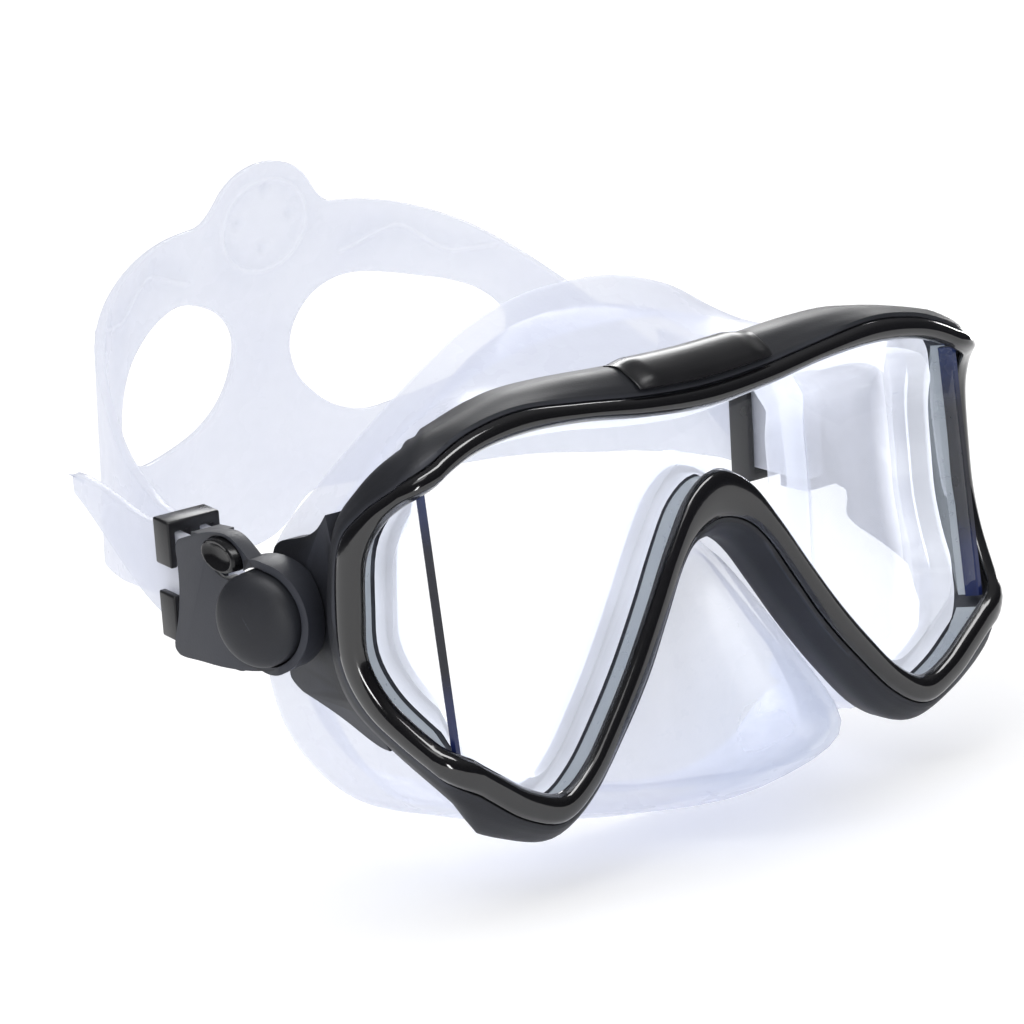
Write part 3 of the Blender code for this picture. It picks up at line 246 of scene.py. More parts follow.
def link(name, data):
    ob = bpy.data.objects.new(name, data)
    bpy.context.scene.collection.objects.link(ob)
    return ob


def make(name, verts, faces):
    """One object from design points, doubles merged and normals outwards."""
    mesh = bpy.data.meshes.new(name)
    mesh.from_pydata([row(v) for v in verts], [], faces)
    bm = bmesh.new()
    bm.from_mesh(mesh)
    bmesh.ops.remove_doubles(bm, verts=bm.verts, dist=2e-6)
    face_out(bm)
    bm.to_mesh(mesh)
    bm.free()
    shade(mesh, 35)
    return link(name, mesh)


def apply_modifiers(ob):
    bpy.context.view_layer.update()
    evaluated = ob.evaluated_get(bpy.context.evaluated_depsgraph_get())
    mesh = bpy.data.meshes.new_from_object(evaluated)
    ob.modifiers.clear()
    ob.data = mesh


def boolean(ob, other, operation):
    """Applies an exact Boolean and drops the second object."""
    mod = ob.modifiers.new("cut", "BOOLEAN")
    mod.operation, mod.solver, mod.object = operation, "EXACT", other
    apply_modifiers(ob)
    bpy.data.objects.remove(other, do_unlink=True)


def finish_piece(ob, mats, body, nodes, angle, bevel=0.0, segs=2, bevel_angle=40):
    """Materials, bevel, shading, and the body the piece rides on."""
    ob.data.materials.clear()
    for mat in mats:
        ob.data.materials.append(mat)
    if bevel:
        mod = ob.modifiers.new("edges", "BEVEL")
        mod.width, mod.segments, mod.limit_method = bevel * MM, segs, "ANGLE"
        mod.angle_limit = math.radians(bevel_angle)
        apply_modifiers(ob)
    shade(ob.data, angle)
    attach(ob, body)
    if nodes:
        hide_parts(*nodes)


def loft(rings, closed_path=True):
    """Faces of a lofted body: rings are closed loops, the path closed or capped."""
    count, size = len(rings), len(rings[0])
    verts = [p for ring in rings for p in ring]
    faces = []
    for i in range(count if closed_path else count - 1):
        j = (i + 1) % count
        for k in range(size):
            m = (k + 1) % size
            faces.append((i * size + k, i * size + m, j * size + m, j * size + k))
    if not closed_path:
        faces.append(tuple(range(size)))
        faces.append(tuple((count - 1) * size + k for k in range(size)))
    return verts, faces


def slab(front, back):
    """Solid between two matching outlines."""
    size = len(front)
    faces = [tuple(range(size)), tuple(range(2 * size - 1, size - 1, -1))]
    for i in range(size):
        j = (i + 1) % size
        faces.append((i, j, size + j, size + i))
    return front + back, faces


# ---------------------------------------------------------------- curves
def smooth(value):
    """Smoothstep, clamped to 0..1."""
    value = min(max(value, 0.0), 1.0)
    return value * value * (3 - 2 * value)


def catmull(pts, place, closed):
    """Point on a Catmull-Rom curve through pts; place counts control points."""
    size = len(pts)
    i = int(math.floor(place))
    if closed:
        a, b, c, d = (np.asarray(pts[(i + k) % size], float) for k in (-1, 0, 1, 2))
    else:
        i = min(max(i, 0), size - 2)
        b, c = np.asarray(pts[i], float), np.asarray(pts[i + 1], float)
        a = np.asarray(pts[i - 1], float) if i > 0 else 2 * b - c
        d = np.asarray(pts[i + 2], float) if i + 2 < size else 2 * c - b
    part = place - i
    return 0.5 * (2 * b + (c - a) * part + (2 * a - 5 * b + 4 * c - d) * part * part
                  + (3 * b - a - 3 * c + d) * part ** 3)


def open_curve(points, steps):
    """Open curve through the points, with this many steps per span."""
    spans = len(points) - 1
    return [tuple(catmull(points, i / steps, False)) for i in range(spans * steps + 1)]


def closed_curve(points, count):
    """Closed curve through the points, resampled to count points."""
    return [tuple(catmull(points, len(points) * i / count, True)) for i in range(count)]


def ellipse(centre, radii, count):
    return [(centre[0] + radii[0] * math.cos(turn), centre[1] + radii[1] * math.sin(turn))
            for turn in np.linspace(0, 2 * math.pi, count, endpoint=False)]


def circle(radius, count, centre=(0.0, 0.0)):
    return ellipse(centre, (radius, radius), count)


def unit(vector):
    return vector / np.linalg.norm(vector)


# ---------------------------------------------------------------- folded front
def side_flat(along, z, out):
    """Point on the flat side window at +x, with no bend radius."""
    past = along - LENS_HALF
    return (LENS_HALF + past * math.cos(FOLD) + out * math.sin(FOLD),
            past * math.sin(FOLD) - out * math.cos(FOLD), z)


def fold(along, z, out):
    """Point outside the window surface, rounded where the side windows fold back."""
    side = -1.0 if along < 0 else 1.0
    reach, slope = abs(along), math.tan(FOLD / 2)
    radius = FILLET + max(out, 0.0)
    start = LENS_HALF + slope * out - slope * radius
    end = LENS_HALF - slope * out + slope * radius
    if reach <= start:
        x, y = reach, -out
    elif reach >= end:
        x, y, _ = side_flat(reach, z, out)
    else:
        turn = FOLD * (reach - start) / (end - start)
        x, y = start + radius * math.sin(turn), -out + radius - radius * math.cos(turn)
    return (side * x, y, z)


def loop_points(column):
    """Control points of one closed outline, mirrored to the other half."""
    half = [np.array(station[column], float) for station in STATIONS]
    return half + [p * (-1, 1) for p in half[-2:0:-1]]


OUTLINES = [loop_points(column) for column in range(3)]


def outline(pos, band, shift):
    """(along, z) at loop position pos: band 0 is the window opening, 1 the parting line,
    2 the frame outline; shift moves the point away from the opening."""
    opening, parting, outer = (catmull(points, pos, True) for points in OUTLINES)
    if band <= 1:
        point = opening + (parting - opening) * band
    else:
        point = parting + (outer - parting) * (band - 1)
    return point + unit(outer - opening) * shift


def frame_point(pos, band, shift, out):
    """Design point on the frame; eases its upper rear edge round the fold."""
    rise, reach, full_depth = 1.8, 9.0, 9.2
    along, z = outline(pos, band, shift)
    if out < 0 and band > 1 and z > 0:
        off = (abs(along) - LENS_HALF) / reach
        z += (rise * min(-out / full_depth, 1.0) * (band - 1) * off
              * math.exp(0.5 - 0.5 * off * off))
    return fold(along, z, out)


def loop_samples(per_station, at_fold):
    """Loop positions: even steps, with finer ones where the outline crosses the fold."""
    places = {round(i / per_station, 4) for i in range(LOOP * per_station)}
    for centre in FOLD_CROSSINGS + tuple(LOOP - c for c in FOLD_CROSSINGS):
        places |= {round(centre + CROSSING_REACH * (k / at_fold - 0.5) * 2, 4)
                   for k in range(at_fold + 1)}
    kept = []
    for place in sorted(places):
        if not kept or place - kept[-1] > 0.12:
            kept.append(place)
    return kept


def frame_loop(section):
    return loft([[frame_point(pos, *c) for c in section]
                 for pos in loop_samples(per_station=6, at_fold=30)])


# ---------------------------------------------------------------- buckle frame
def buckle_to_design(back, up, x):
    """Buckle frame (back along the strap, up, x outwards) to design axes."""
    return (x, PIVOT_Y + back * math.cos(PITCH) - up * math.sin(PITCH),
            PIVOT_Z + back * math.sin(PITCH) + up * math.cos(PITCH))


def level_prism(points, x0, x1, side):
    """Extrudes a (y, z) design outline along x."""
    return slab([(side * x0, y, z) for y, z in points], [(side * x1, y, z) for y, z in points])


def prism(points, x0, x1, side):
    """Extrudes a (back, up) outline of the buckle frame along x."""
    return level_prism([buckle_to_design(*p, 0)[1:] for p in points], x0, x1, side)


def tilted(profile, side):
    """Solid of revolution about the cap's tilted axis; profile is (distance out, radius)."""
    cosine, sine = math.cos(CAP_TILT), math.sin(CAP_TILT)
    hub = (LUG_OUT + PLATE_IN + 0.7) / 2
    centre = np.array((hub + 7.25 * cosine, PIVOT_Y - 7.5 * sine, PIVOT_Z + 0.8))
    axis, across = np.array((cosine, -sine, 0.0)), np.array((-sine, -cosine, 0.0))
    rings = []
    for distance, radius in profile:
        ring = []
        for j in range(ROUND_STEPS):
            turn = 2 * math.pi * j / ROUND_STEPS
            point = (centre + axis * distance + across * (radius * math.cos(turn))
                     + np.array((0, 0, radius * math.sin(turn))))
            ring.append((side * point[0], point[1], point[2]))
        rings.append(ring)
    return loft(rings, closed_path=False)


# ---------------------------------------------------------------- node helpers
def fill(node, *by_place, **by_name):
    """Sets inputs by place, and inputs (_ for a space) or settings by name.

    A socket is linked, any other value is stored, and None is passed over.
    """
    inputs = list(zip(node.inputs, by_place))
    for key, value in by_name.items():
        title = key.replace("_", " ")
        if title in node.inputs:
            inputs.append((node.inputs[title], value))
        else:
            setattr(node, key, value)
    for socket, value in inputs:
        if isinstance(value, bpy.types.NodeSocket):
            node.id_data.links.new(value, socket)
        elif value is not None:
            socket.default_value = value
    return node


def add_node(tree, kind, *by_place, **by_name):
    return fill(tree.nodes.new("ShaderNode" + kind), *by_place, **by_name)


def math_node(tree, operation, *values, **settings):
    return add_node(tree, "Math", *values, operation=operation, **settings).outputs[0]


def mix_color(tree, factor, first, second, blend="MIX"):
    node = add_node(tree, "Mix", data_type="RGBA", blend_type=blend, Factor=factor)
    for place, value in ((6, first), (7, second)):
        if isinstance(value, bpy.types.NodeSocket):
            tree.links.new(value, node.inputs[place])
        else:
            node.inputs[place].default_value = (*value, 1)
    return node.outputs[2]


def ramp(tree, value, stops):
    """Colour ramp; stops are (position, colour)."""
    node = add_node(tree, "ValToRGB", Fac=value)
    elements = node.color_ramp.elements
    while len(elements) > 1:
        elements.remove(elements[-1])
    elements[0].position, elements[0].color = stops[0][0], (*stops[0][1], 1)
    for position, color in stops[1:]:
        elements.new(position).color = (*color, 1)
    return node.outputs["Color"]


def span(tree, value, source, target):
    """Maps the source range onto the target range."""
    return add_node(tree, "MapRange", Value=value, From_Min=source[0], From_Max=source[1],
                    To_Min=target[0], To_Max=target[1]).outputs["Result"]


def noise(tree, coords, scale, detail=3.0, roughness=0.5):
    return add_node(tree, "TexNoise", Vector=coords, Scale=scale, Detail=detail,
                    Roughness=roughness).outputs["Fac"]


def bump(tree, parts, distance):
    """Chained bumps: (height, strength) pairs."""
    normal = None
    for height, strength in parts:
        normal = add_node(tree, "Bump", Strength=strength, Distance=distance, Height=height,
                          Normal=normal).outputs["Normal"]
    return normal


def axis_of(tree, coords, axis):
    return add_node(tree, "SeparateXYZ", coords).outputs[axis]


def new_material(name):
    """Material, its tree, its Principled node and object coordinates."""
    material = bpy.data.materials.new(name)
    material.use_nodes = True
    tree = material.node_tree
    coords = add_node(tree, "TexCoord").outputs["Object"]
    return material, tree, tree.nodes["Principled BSDF"], coords


# ---------------------------------------------------------------- materials
def satin_plastic(name, base, roughness, grain):
    """Moulded black plastic: fine grain, paler rubbed edges, handling haze."""
    material, tree, principled, coords = new_material(name)
    cloud = noise(tree, coords, scale=60.0, detail=4.0)
    fine = noise(tree, coords, scale=2600.0, detail=2.0, roughness=0.6)
    color = ramp(tree, cloud, [(0.3, tuple(c * 0.8 for c in base)),
                               (0.7, tuple(c * 1.25 for c in base))])
    pointiness = add_node(tree, "NewGeometry").outputs["Pointiness"]
    edge = span(tree, pointiness, source=(0.52, 0.62), target=(0.0, 0.5))
    uneven = noise(tree, coords, scale=350.0, detail=2.0)
    fill(principled,
         Base_Color=mix_color(tree, edge, color, [c * 3.2 for c in base]),
         Roughness=span(tree, cloud, source=(0.25, 0.75),
                        target=(roughness - 0.06, roughness + 0.07)),
         Normal=bump(tree, [(fine, grain), (uneven, 0.06)], distance=0.00012),
         Specular_IOR_Level=0.32)
    return material


def gloss_plastic(name):
    """Polished black bezel: deep gloss with faint flow marks and haze."""
    material, tree, principled, coords = new_material(name)
    flow = noise(tree, coords, scale=26.0, detail=2.0)
    haze = noise(tree, coords, scale=140.0, detail=5.0, roughness=0.65)
    ripple = noise(tree, coords, scale=900.0)
    fill(principled,
         Base_Color=ramp(tree, flow, [(0.3, (0.0035, 0.0035, 0.004)),
                                      (0.7, (0.006, 0.006, 0.0075))]),
         Roughness=span(tree, haze, source=(0.35, 0.75), target=(0.09, 0.19)),
         Normal=bump(tree, [(flow, 0.12), (ripple, 0.02)], distance=0.0006),
         Coat_Weight=0.5, Coat_Roughness=0.04)
    return material


def clear_silicone(name, density, tint, body, inner_glow, lip_glow):
    """Milky see-through rubber: denser at grazing angles, waxy highlight, faint flow, painted
    shade in its creases.

    density is the opacity range from facing to grazing; inner_glow is a painted glow on the
    faces that look inwards and lip_glow a painted glow on those marked by the "lip" attribute.
    """
    material, tree, principled, coords = new_material(name)
    base_glow = 0.04
    cloud = noise(tree, coords, scale=38.0)
    geometry = add_node(tree, "NewGeometry")
    flow = ramp(tree, cloud, [(0.3, tuple(c * 0.97 for c in body)), (0.72, body)])
    # Painted shade and light: pointiness darkens hollows and creases and lightens ridges and
    # rims.
    painted_crease_shade_and_ridge_light = ramp(tree, geometry.outputs["Pointiness"],
                   [(0.40, (0.60, 0.63, 0.72)), (0.485, (0.95, 0.955, 0.97)),
                    (0.5, (1, 1, 1)), (0.56, (1.12, 1.12, 1.1))])
    tone = mix_color(tree, 1.0, flow, painted_crease_shade_and_ridge_light, blend="MULTIPLY")

    # Painted glow: faces that look towards a point inside the mask glow more.
    mask_middle = (0.0, 0.028, -0.006)
    toward = add_node(tree, "VectorMath", mask_middle, coords, operation="SUBTRACT")
    direction = add_node(tree, "VectorMath", toward.outputs["Vector"], operation="NORMALIZE")
    inside = add_node(tree, "VectorMath", direction.outputs["Vector"],
                      geometry.outputs["Normal"], operation="DOT_PRODUCT").outputs["Value"]
    # The nose pocket, furthest forward, glows less and gets a painted cooler, darker shade.
    nose = span(tree, axis_of(tree, coords, "Y"), source=(0.004, -0.010), target=(0.0, 1.0))
    glow = span(tree, inside, source=(0.0, 0.6), target=(base_glow, base_glow + inner_glow))
    calm = math_node(tree, "MULTIPLY", glow,
                     span(tree, nose, source=(0.0, 1.0), target=(1.0, 0.15)))
    painted_glow_mask = add_node(tree, "VertexColor", layer_name="lip").outputs["Color"]
    normal = bump(tree, [(noise(tree, coords, scale=75.0, detail=2.0), 0.25),
                         (noise(tree, coords, scale=1300.0, detail=2.0), 0.025)],
                  distance=0.0008)
    fill(principled,
         Base_Color=mix_color(tree, nose, tone, (0.80, 0.86, 0.96), blend="MULTIPLY"),
         # Painted glow: the emission lifts the rubber's shade, most on inward faces and by the
         # lip.
         Emission_Color=tone,
         Emission_Strength=math_node(tree, "MULTIPLY_ADD", painted_glow_mask, lip_glow, calm),
         Roughness=span(tree, noise(tree, coords, scale=90.0, detail=4.0),
                        source=(0.3, 0.7), target=(0.2, 0.38)),
         Normal=normal, Specular_IOR_Level=0.42, Coat_Weight=0.25, Coat_Roughness=0.15)

    through = add_node(tree, "BsdfTranslucent", Color=(*body, 1), Normal=normal)
    soft = add_node(tree, "MixShader", 0.45, principled.outputs["BSDF"],
                    through.outputs["BSDF"])
    clear = add_node(tree, "BsdfTransparent", Color=(*tint, 1))
    facing = add_node(tree, "LayerWeight", Blend=0.32, Normal=normal).outputs["Facing"]
    opacity = math_node(tree, "MULTIPLY",
                        span(tree, facing, source=(0.05, 0.95), target=density),
                        span(tree, cloud, source=(0.3, 0.7), target=(0.85, 1.15)))
    final = add_node(tree, "MixShader", opacity, clear.outputs["BSDF"], soft.outputs["Shader"])
    fill(tree.nodes["Material Output"], Surface=final.outputs["Shader"])
    return material


def window_glass(name):
    """Glass face: nearly clear, sharp reflection on its outer side, faint smears."""
    material, tree, principled, coords = new_material(name)
    tree.nodes.remove(principled)
    falloff, edge_reflection, facing_reflection = 4.0, 0.55, 0.02
    clear = add_node(tree, "BsdfTransparent", Color=(0.985, 0.99, 0.993, 1))
    smears = span(tree, noise(tree, coords, scale=30.0, detail=4.0),
                  source=(0.3, 0.8), target=(0.0, 0.05))
    mirror = add_node(tree, "BsdfGlossy", Color=(0.95, 0.97, 1.0, 1), Roughness=smears)
    facing = add_node(tree, "LayerWeight", Blend=0.5).outputs["Facing"]
    power = math_node(tree, "POWER", facing, falloff)
    reflection = math_node(tree, "MULTIPLY_ADD", power, edge_reflection, facing_reflection)
    backfacing = add_node(tree, "NewGeometry").outputs["Backfacing"]
    outer = math_node(tree, "SUBTRACT", 1.0, backfacing)
    factor = math_node(tree, "MULTIPLY", reflection, outer, use_clamp=True)
    mix = add_node(tree, "MixShader", factor, clear.outputs["BSDF"], mirror.outputs["BSDF"])
    fill(tree.nodes["Material Output"], Surface=mix.outputs["Shader"])
    return material


def glass_rim(name):
    """Edge of the glass: pale blue and frosted, with a painted glow that lifts its shade."""
    material, tree, principled, coords = new_material(name)
    fill(principled,
         Base_Color=ramp(tree, noise(tree, coords, scale=120.0),
                         [(0.3, (0.66, 0.74, 0.84)), (0.7, (0.80, 0.87, 0.94))]),
         Roughness=span(tree, noise(tree, coords, scale=600.0),
                        source=(0.3, 0.7), target=(0.25, 0.5)),
         Emission_Color=(0.78, 0.86, 0.96, 1), Emission_Strength=0.55, Alpha=0.3)
    return material


def joint_strip(name):
    """Dark bonding strip seen through the glass edge, bluer at its ends."""
    material, tree, principled, coords = new_material(name)
    low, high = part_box("lens_joint_left")[0][2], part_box("lens_joint_left")[1][2]
    height = span(tree, axis_of(tree, coords, "Z"), source=(low, high), target=(0.0, 1.0))
    color = ramp(tree, height,
                 [(0.0, (0.010, 0.018, 0.085)), (0.20, (0.008, 0.014, 0.065)),
                  (0.32, (0.002, 0.003, 0.010)), (0.76, (0.003, 0.004, 0.014)),
                  (0.90, (0.010, 0.020, 0.075)), (1.0, (0.018, 0.035, 0.12))])
    fill(principled, Base_Color=color,
         Roughness=span(tree, noise(tree, coords, scale=300.0),
                        source=(0.3, 0.7), target=(0.12, 0.3)),
         Normal=bump(tree, [(noise(tree, coords, scale=500.0, detail=2.0), 0.1)],
                     distance=0.0002))
    return material


def spring_steel(name):
    material, tree, principled, coords = new_material(name)
    fill(principled, Metallic=1.0,
         Base_Color=ramp(tree, noise(tree, coords, scale=900.0),
                         [(0.3, (0.42, 0.42, 0.44)), (0.7, (0.62, 0.62, 0.63))]),
         Roughness=span(tree, noise(tree, coords, scale=2200.0),
                        source=(0.3, 0.7), target=(0.22, 0.4)))
    return material


def floor_paper(name):
    material, tree, principled, coords = new_material(name)
    fill(principled,
         Base_Color=ramp(tree, noise(tree, coords, scale=4.0, detail=2.0),
                         [(0.3, (0.965, 0.965, 0.97)), (0.7, (0.98, 0.98, 0.985))]),
         Roughness=0.9, Specular_IOR_Level=0.1,
         Emission_Color=(1, 1, 1, 1), Emission_Strength=0.14)
    return material


SATIN = satin_plastic("satin_black_plastic", base=(0.0145, 0.0158, 0.021),
                      roughness=0.5, grain=0.25)
CLIP = satin_plastic("clip_black_plastic", base=(0.009, 0.009, 0.0105),
                     roughness=0.3, grain=0.12)
BUTTON = satin_plastic("button_black_plastic", base=(0.006, 0.006, 0.007),
                       roughness=0.24, grain=0.1)
GLOSS = gloss_plastic("gloss_black_plastic")
SKIRT_MAT = clear_silicone("clear_silicone_skirt", density=(0.30, 0.72),
                           tint=(0.96, 0.968, 0.983), body=(0.775, 0.79, 0.86),
                           inner_glow=0.9, lip_glow=1.2)
STRAP_MAT = clear_silicone("clear_silicone_strap", density=(0.52, 0.88),
                           tint=(0.95, 0.96, 0.98), body=(0.805, 0.82, 0.885),
                           inner_glow=0.0, lip_glow=0.0)
PANE = window_glass("window_glass")
PANE_RIM = glass_rim("window_glass_rim")
STRIP = joint_strip("joint_strip")
STEEL = spring_steel("spring_steel")


# ---------------------------------------------------------------- frame
def build_bezel():
    section = open_curve(BEZEL_FACE, 4) + BEZEL_BACK
    bezel = make("bezel_gloss", *frame_loop(section))
    finish_piece(bezel, [GLOSS], "mask", ["front_bezel"],
                 angle=40, bevel=0.22)


def build_rear_frame():
    """Satin frame behind the bezel, with a drilled lug on each side for the buckle."""
    rear = make("frame_satin", *frame_loop(REAR_FRONT + open_curve(REAR_WALL, 5) + REAR_BACK))
    arc = [(PIVOT_Y + LUG_R * math.cos(math.radians(t)),
            PIVOT_Z + LUG_R * math.sin(math.radians(t))) for t in range(-60, 61, 4)]
    lug_outline = open_curve(LUG_LOW, 3) + arc + open_curve(LUG_HIGH, 3)
    hole = circle(PIN_HOLE_R, 32, centre=(PIVOT_Y, PIVOT_Z))
    for side in (1, -1):
        lug = make("lug", *level_prism(lug_outline, LUG_IN, LUG_OUT, side))
        wedge = slab([(side * x, -20, z) for x, z in LUG_TAPER],
                     [(side * x, 60, z) for x, z in LUG_TAPER])
        boolean(lug, make("taper", *wedge), "DIFFERENCE")
        boolean(rear, lug, "UNION")
        drill = level_prism(hole, LUG_IN - 3, LUG_OUT + 3, side)
        boolean(rear, make("lughole", *drill), "DIFFERENCE")
    finish_piece(rear, [SATIN], "mask", ["rear_frame"],
                 angle=38, bevel=0.5, segs=3, bevel_angle=38)


def build_bridge_cover():
    """Cover over the top centre of the frame, sinking into it at both ends."""
    rings = []
    for k in range(CLIP_STEPS + 1):
        pos = CLIP_CENTRE - CLIP_HALF + 2 * CLIP_HALF * k / CLIP_STEPS
        full = smooth((CLIP_HALF - abs(pos - CLIP_CENTRE)) / 0.34)
        low = [(band, CLIP_SINK + (shift - CLIP_SINK) * full if band > 1 else shift, out)
               for band, shift, out in CLIP_LOW]
        height = 0.22 + 0.78 * full
        top = [(high[0], base[1] + (high[1] - base[1]) * height,
                base[2] + (high[2] - base[2]) * height)
               for base, high in zip(low[::-1], CLIP_TOP)]
        rings.append([frame_point(pos % LOOP, *c) for c in low + open_curve(top, 5)])
    cover = make("bridge_cover", *loft(rings, closed_path=False))
    finish_piece(cover, [CLIP], "mask", ["bridge_clip"],
                 angle=38, bevel=0.12, bevel_angle=38)


# ---------------------------------------------------------------- windows
def clip_loop(points, keep):
    """Clips a closed (along, z) polygon to along >= keep."""
    clipped = []
    for start, end in zip(points, points[1:] + points[:1]):
        start_in, end_in = start[0] >= keep, end[0] >= keep
        if start_in:
            clipped.append(tuple(start))
        if start_in != end_in:
            part = (keep - start[0]) / (end[0] - start[0])
            clipped.append((keep, start[1] + part * (end[1] - start[1])))
    return clipped


def build_pane(name, front, back, node):
    """One window: clear faces, also at the joints, and a frosted rim elsewhere."""
    ob = make(name, *slab(front, back))
    finish_piece(ob, [PANE, PANE_RIM], "mask", [node], angle=30, bevel=0.25)
    large = sorted(p.area for p in ob.data.polygons)[-2] * 0.5
    for face in ob.data.polygons:
        centre = face.center / MM
        by_joint = (LENS_HALF - 4.8 < abs(centre.x) < LENS_HALF + 1.9
                    and centre.y < GLASS + 1.4 and abs(face.normal.z) < 0.3)
        face.material_index = 0 if face.area > large or by_joint else 1


def build_windows():
    mitre = GLASS * math.tan(FOLD / 2)
    edge = [tuple(outline(pos, 0, LENS_LAP)) for pos in loop_samples(6, 20)]
    front = edge
    for _ in range(2):      # mirrors and clips, once for each side
        front = clip_loop([(-along, z) for along, z in front][::-1], MEET - LENS_HALF)
    back = []
    for along, z in front:
        near = max(0.0, abs(along) - (LENS_HALF - MEET - MITRE_SPAN)) / MITRE_SPAN
        back.append((along - math.copysign(mitre * near, along), GLASS, z))
    build_pane("window_front", [(along, 0.0, z) for along, z in front], back, "front_lens")

    far = clip_loop(edge, LENS_HALF + MEET)
    for side, name in ((1, "left"), (-1, "right")):
        outer, inner = [], []
        for along, z in far:
            near = max(0.0, 1 - (along - LENS_HALF - MEET) / MITRE_SPAN)
            x, y, _ = side_flat(along, z, 0.0)
            outer.append((side * x, y, z))
            x, y, _ = side_flat(along + mitre * near, z, -GLASS)
            inner.append((side * x, y, z))
        build_pane(f"window_{name}", outer, inner, f"side_lens_{name}")


# ---------------------------------------------------------------- skirt
def skirt_rows():
    """Control net of the outer skirt surface: one row of way points per station."""
    rows = []
    for i in range(HALF + 1):
        edge = np.array(FACE_EDGE[i], float)
        if i in POCKET:
            start = np.array(frame_point(i, 2, 0.9, -12.2))
            rows.append([start] + [np.array(p, float) for p in POCKET[i]] + [edge])
            continue
        start = np.array(frame_point(i, 0.9 if i < 7 else 1.2, 0, -12.4))
        outward = unit(np.array(frame_point(i, 2, 3.0, -12.4)) - start)
        bulge = np.interp(i, BULGE_STATIONS, BULGE)
        wall = [start + (edge - start) * place + outward * bulge * share
                for place, share in BULGE_SHARES]
        rows.append([start] + wall + [edge])
    return rows + [[p * (-1, 1, 1) for p in points] for points in rows[-2:0:-1]]


SKIRT_NET = skirt_rows()
NET_END = 5     # last column of the net, at the face edge


def skirt_point(pos, depth):
    """Outer skirt surface, depth 0 behind the frame to NET_END at the face edge."""
    columns = [catmull([points[k] for points in SKIRT_NET], pos, True)
               for k in range(NET_END + 1)]
    return catmull(columns, depth, False)


def skirt_normal(pos, depth):
    step = 0.02
    round_loop = skirt_point(pos + step, depth) - skirt_point(pos - step, depth)
    to_face = (skirt_point(pos, min(depth + step, NET_END))
               - skirt_point(pos, max(depth - step, 0)))
    return unit(np.cross(round_loop, to_face))


def skirt_ring(pos):
    """Cross section of the skirt: lip, outer wall, then inner wall back to the lip."""
    lip = [frame_point(pos, 0, *p) for p in SKIRT_LIP]
    depths = [float(NET_END) * k / SKIRT_STEPS for k in range(SKIRT_STEPS + 1)]
    outer = [skirt_point(pos, depth) for depth in depths]
    from_nose = abs(pos - HALF)
    thin = max(0.0, 1 - abs(from_nose - 6.0) / 1.6)     # thinner beside the nose pocket
    inner = []
    for point, depth in zip(outer, depths):
        root = 0.7 + 0.3 * min(depth, 1.0)
        taper = 1.0 - 0.72 * smooth((depth - 3.9) / 1.1)
        wall = SKIRT_T * root * (1 - 0.35 * thin) * taper
        inner.append(point - skirt_normal(pos, depth) * wall)
    # The inner wall starts further back round the nose.
    back = np.array(frame_point(pos, 1, 0, -14.0)) - frame_point(pos, 1, 0, -12.4)
    nose = min(max((5.6 - from_nose) / 1.2, 0.0), 1.0)
    inner[0] = inner[0] + back * (0.15 + 0.7 * nose)
    return lip[:-1] + outer + inner[::-1] + lip[-1:]


def mark_lip_painted_glow(mesh, places):
    """Attribute "lip", where the skirt gets a painted glow: 1 by the lip's corners (bar the
    third), fading to 0 away from them.
    """
    corners = [row(frame_point(pos, 0, *p)) for pos in places
               for p in SKIRT_LIP[:2] + SKIRT_LIP[3:]]
    tree = KDTree(len(corners))
    for i, corner in enumerate(corners):
        tree.insert(corner, i)
    tree.balance()
    marks = mesh.color_attributes.new("lip", "FLOAT_COLOR", "POINT")
    for i, vertex in enumerate(mesh.vertices):
        weight = 1.0 - smooth((tree.find(vertex.co)[2] * 1000 - 1.2) / 5.0)
        marks.data[i].color = (weight, weight, weight, 1.0)


def build_skirt():
    places = loop_samples(per_station=4, at_fold=16)
    skirt = make("skirt_silicone", *loft([skirt_ring(pos) for pos in places]))
    finish_piece(skirt, [SKIRT_MAT], "mask", ["skirt"],
                 angle=50, bevel=0.3, bevel_angle=50)
    mark_lip_painted_glow(skirt.data, places)


def seal_ring(pos):
    """Section of the inner sealing flap: a thin lip standing in from the skirt wall."""
    root = skirt_point(pos, 3.55) - skirt_normal(pos, 3.55) * SKIRT_T * 0.9
    middle = skirt_point(pos, 4.3) - skirt_normal(pos, 4.3) * 4.2
    tip = skirt_point(pos, 4.75) - skirt_normal(pos, 4.2) * 6.2
    line = open_curve([root, middle, tip], 6)
    along = skirt_point(pos + 0.05, 4) - skirt_point(pos - 0.05, 4)
    last = len(line) - 1
    upper, lower = [], []
    for i, point in enumerate(line):
        run = np.array(line[min(i + 1, last)]) - np.array(line[max(i - 1, 0)])
        offset = unit(np.cross(run, along)) * (0.55 - 0.35 * i / last)
        upper.append(point + offset)
        lower.append(point - offset)
    return upper + lower[::-1]


def build_seal():
    places = loop_samples(per_station=3, at_fold=8)
    seal = make("skirt_inner_seal", *loft([seal_ring(pos) for pos in places]))
    finish_piece(seal, [SKIRT_MAT], "mask", [], angle=60)


# ---------------------------------------------------------------- strap path
def plan_curve():
    """Dense plan polyline of half the strap, rear centre to the arm's straight, and the
    length along it."""
    end = (ROLLER_X - WRAP_R, buckle_to_design(ROLLER_A, STRAP_H, 0)[1])
    slope = 0.04
    straight = [(end[0] - slope * ahead, end[1] + ahead) for ahead in (24, 12)]
    control = [(-x, y) for x, y in ARM_PLAN[2:0:-1]] + ARM_PLAN + straight + [end]
    spans = len(control) - 3
    points = np.array([catmull(control, 2 + place, False)
                       for place in np.linspace(0, spans, 60 * spans + 1)])
    steps = np.linalg.norm(np.diff(points, axis=0), axis=1)
    return points, np.r_[0, np.cumsum(steps)]


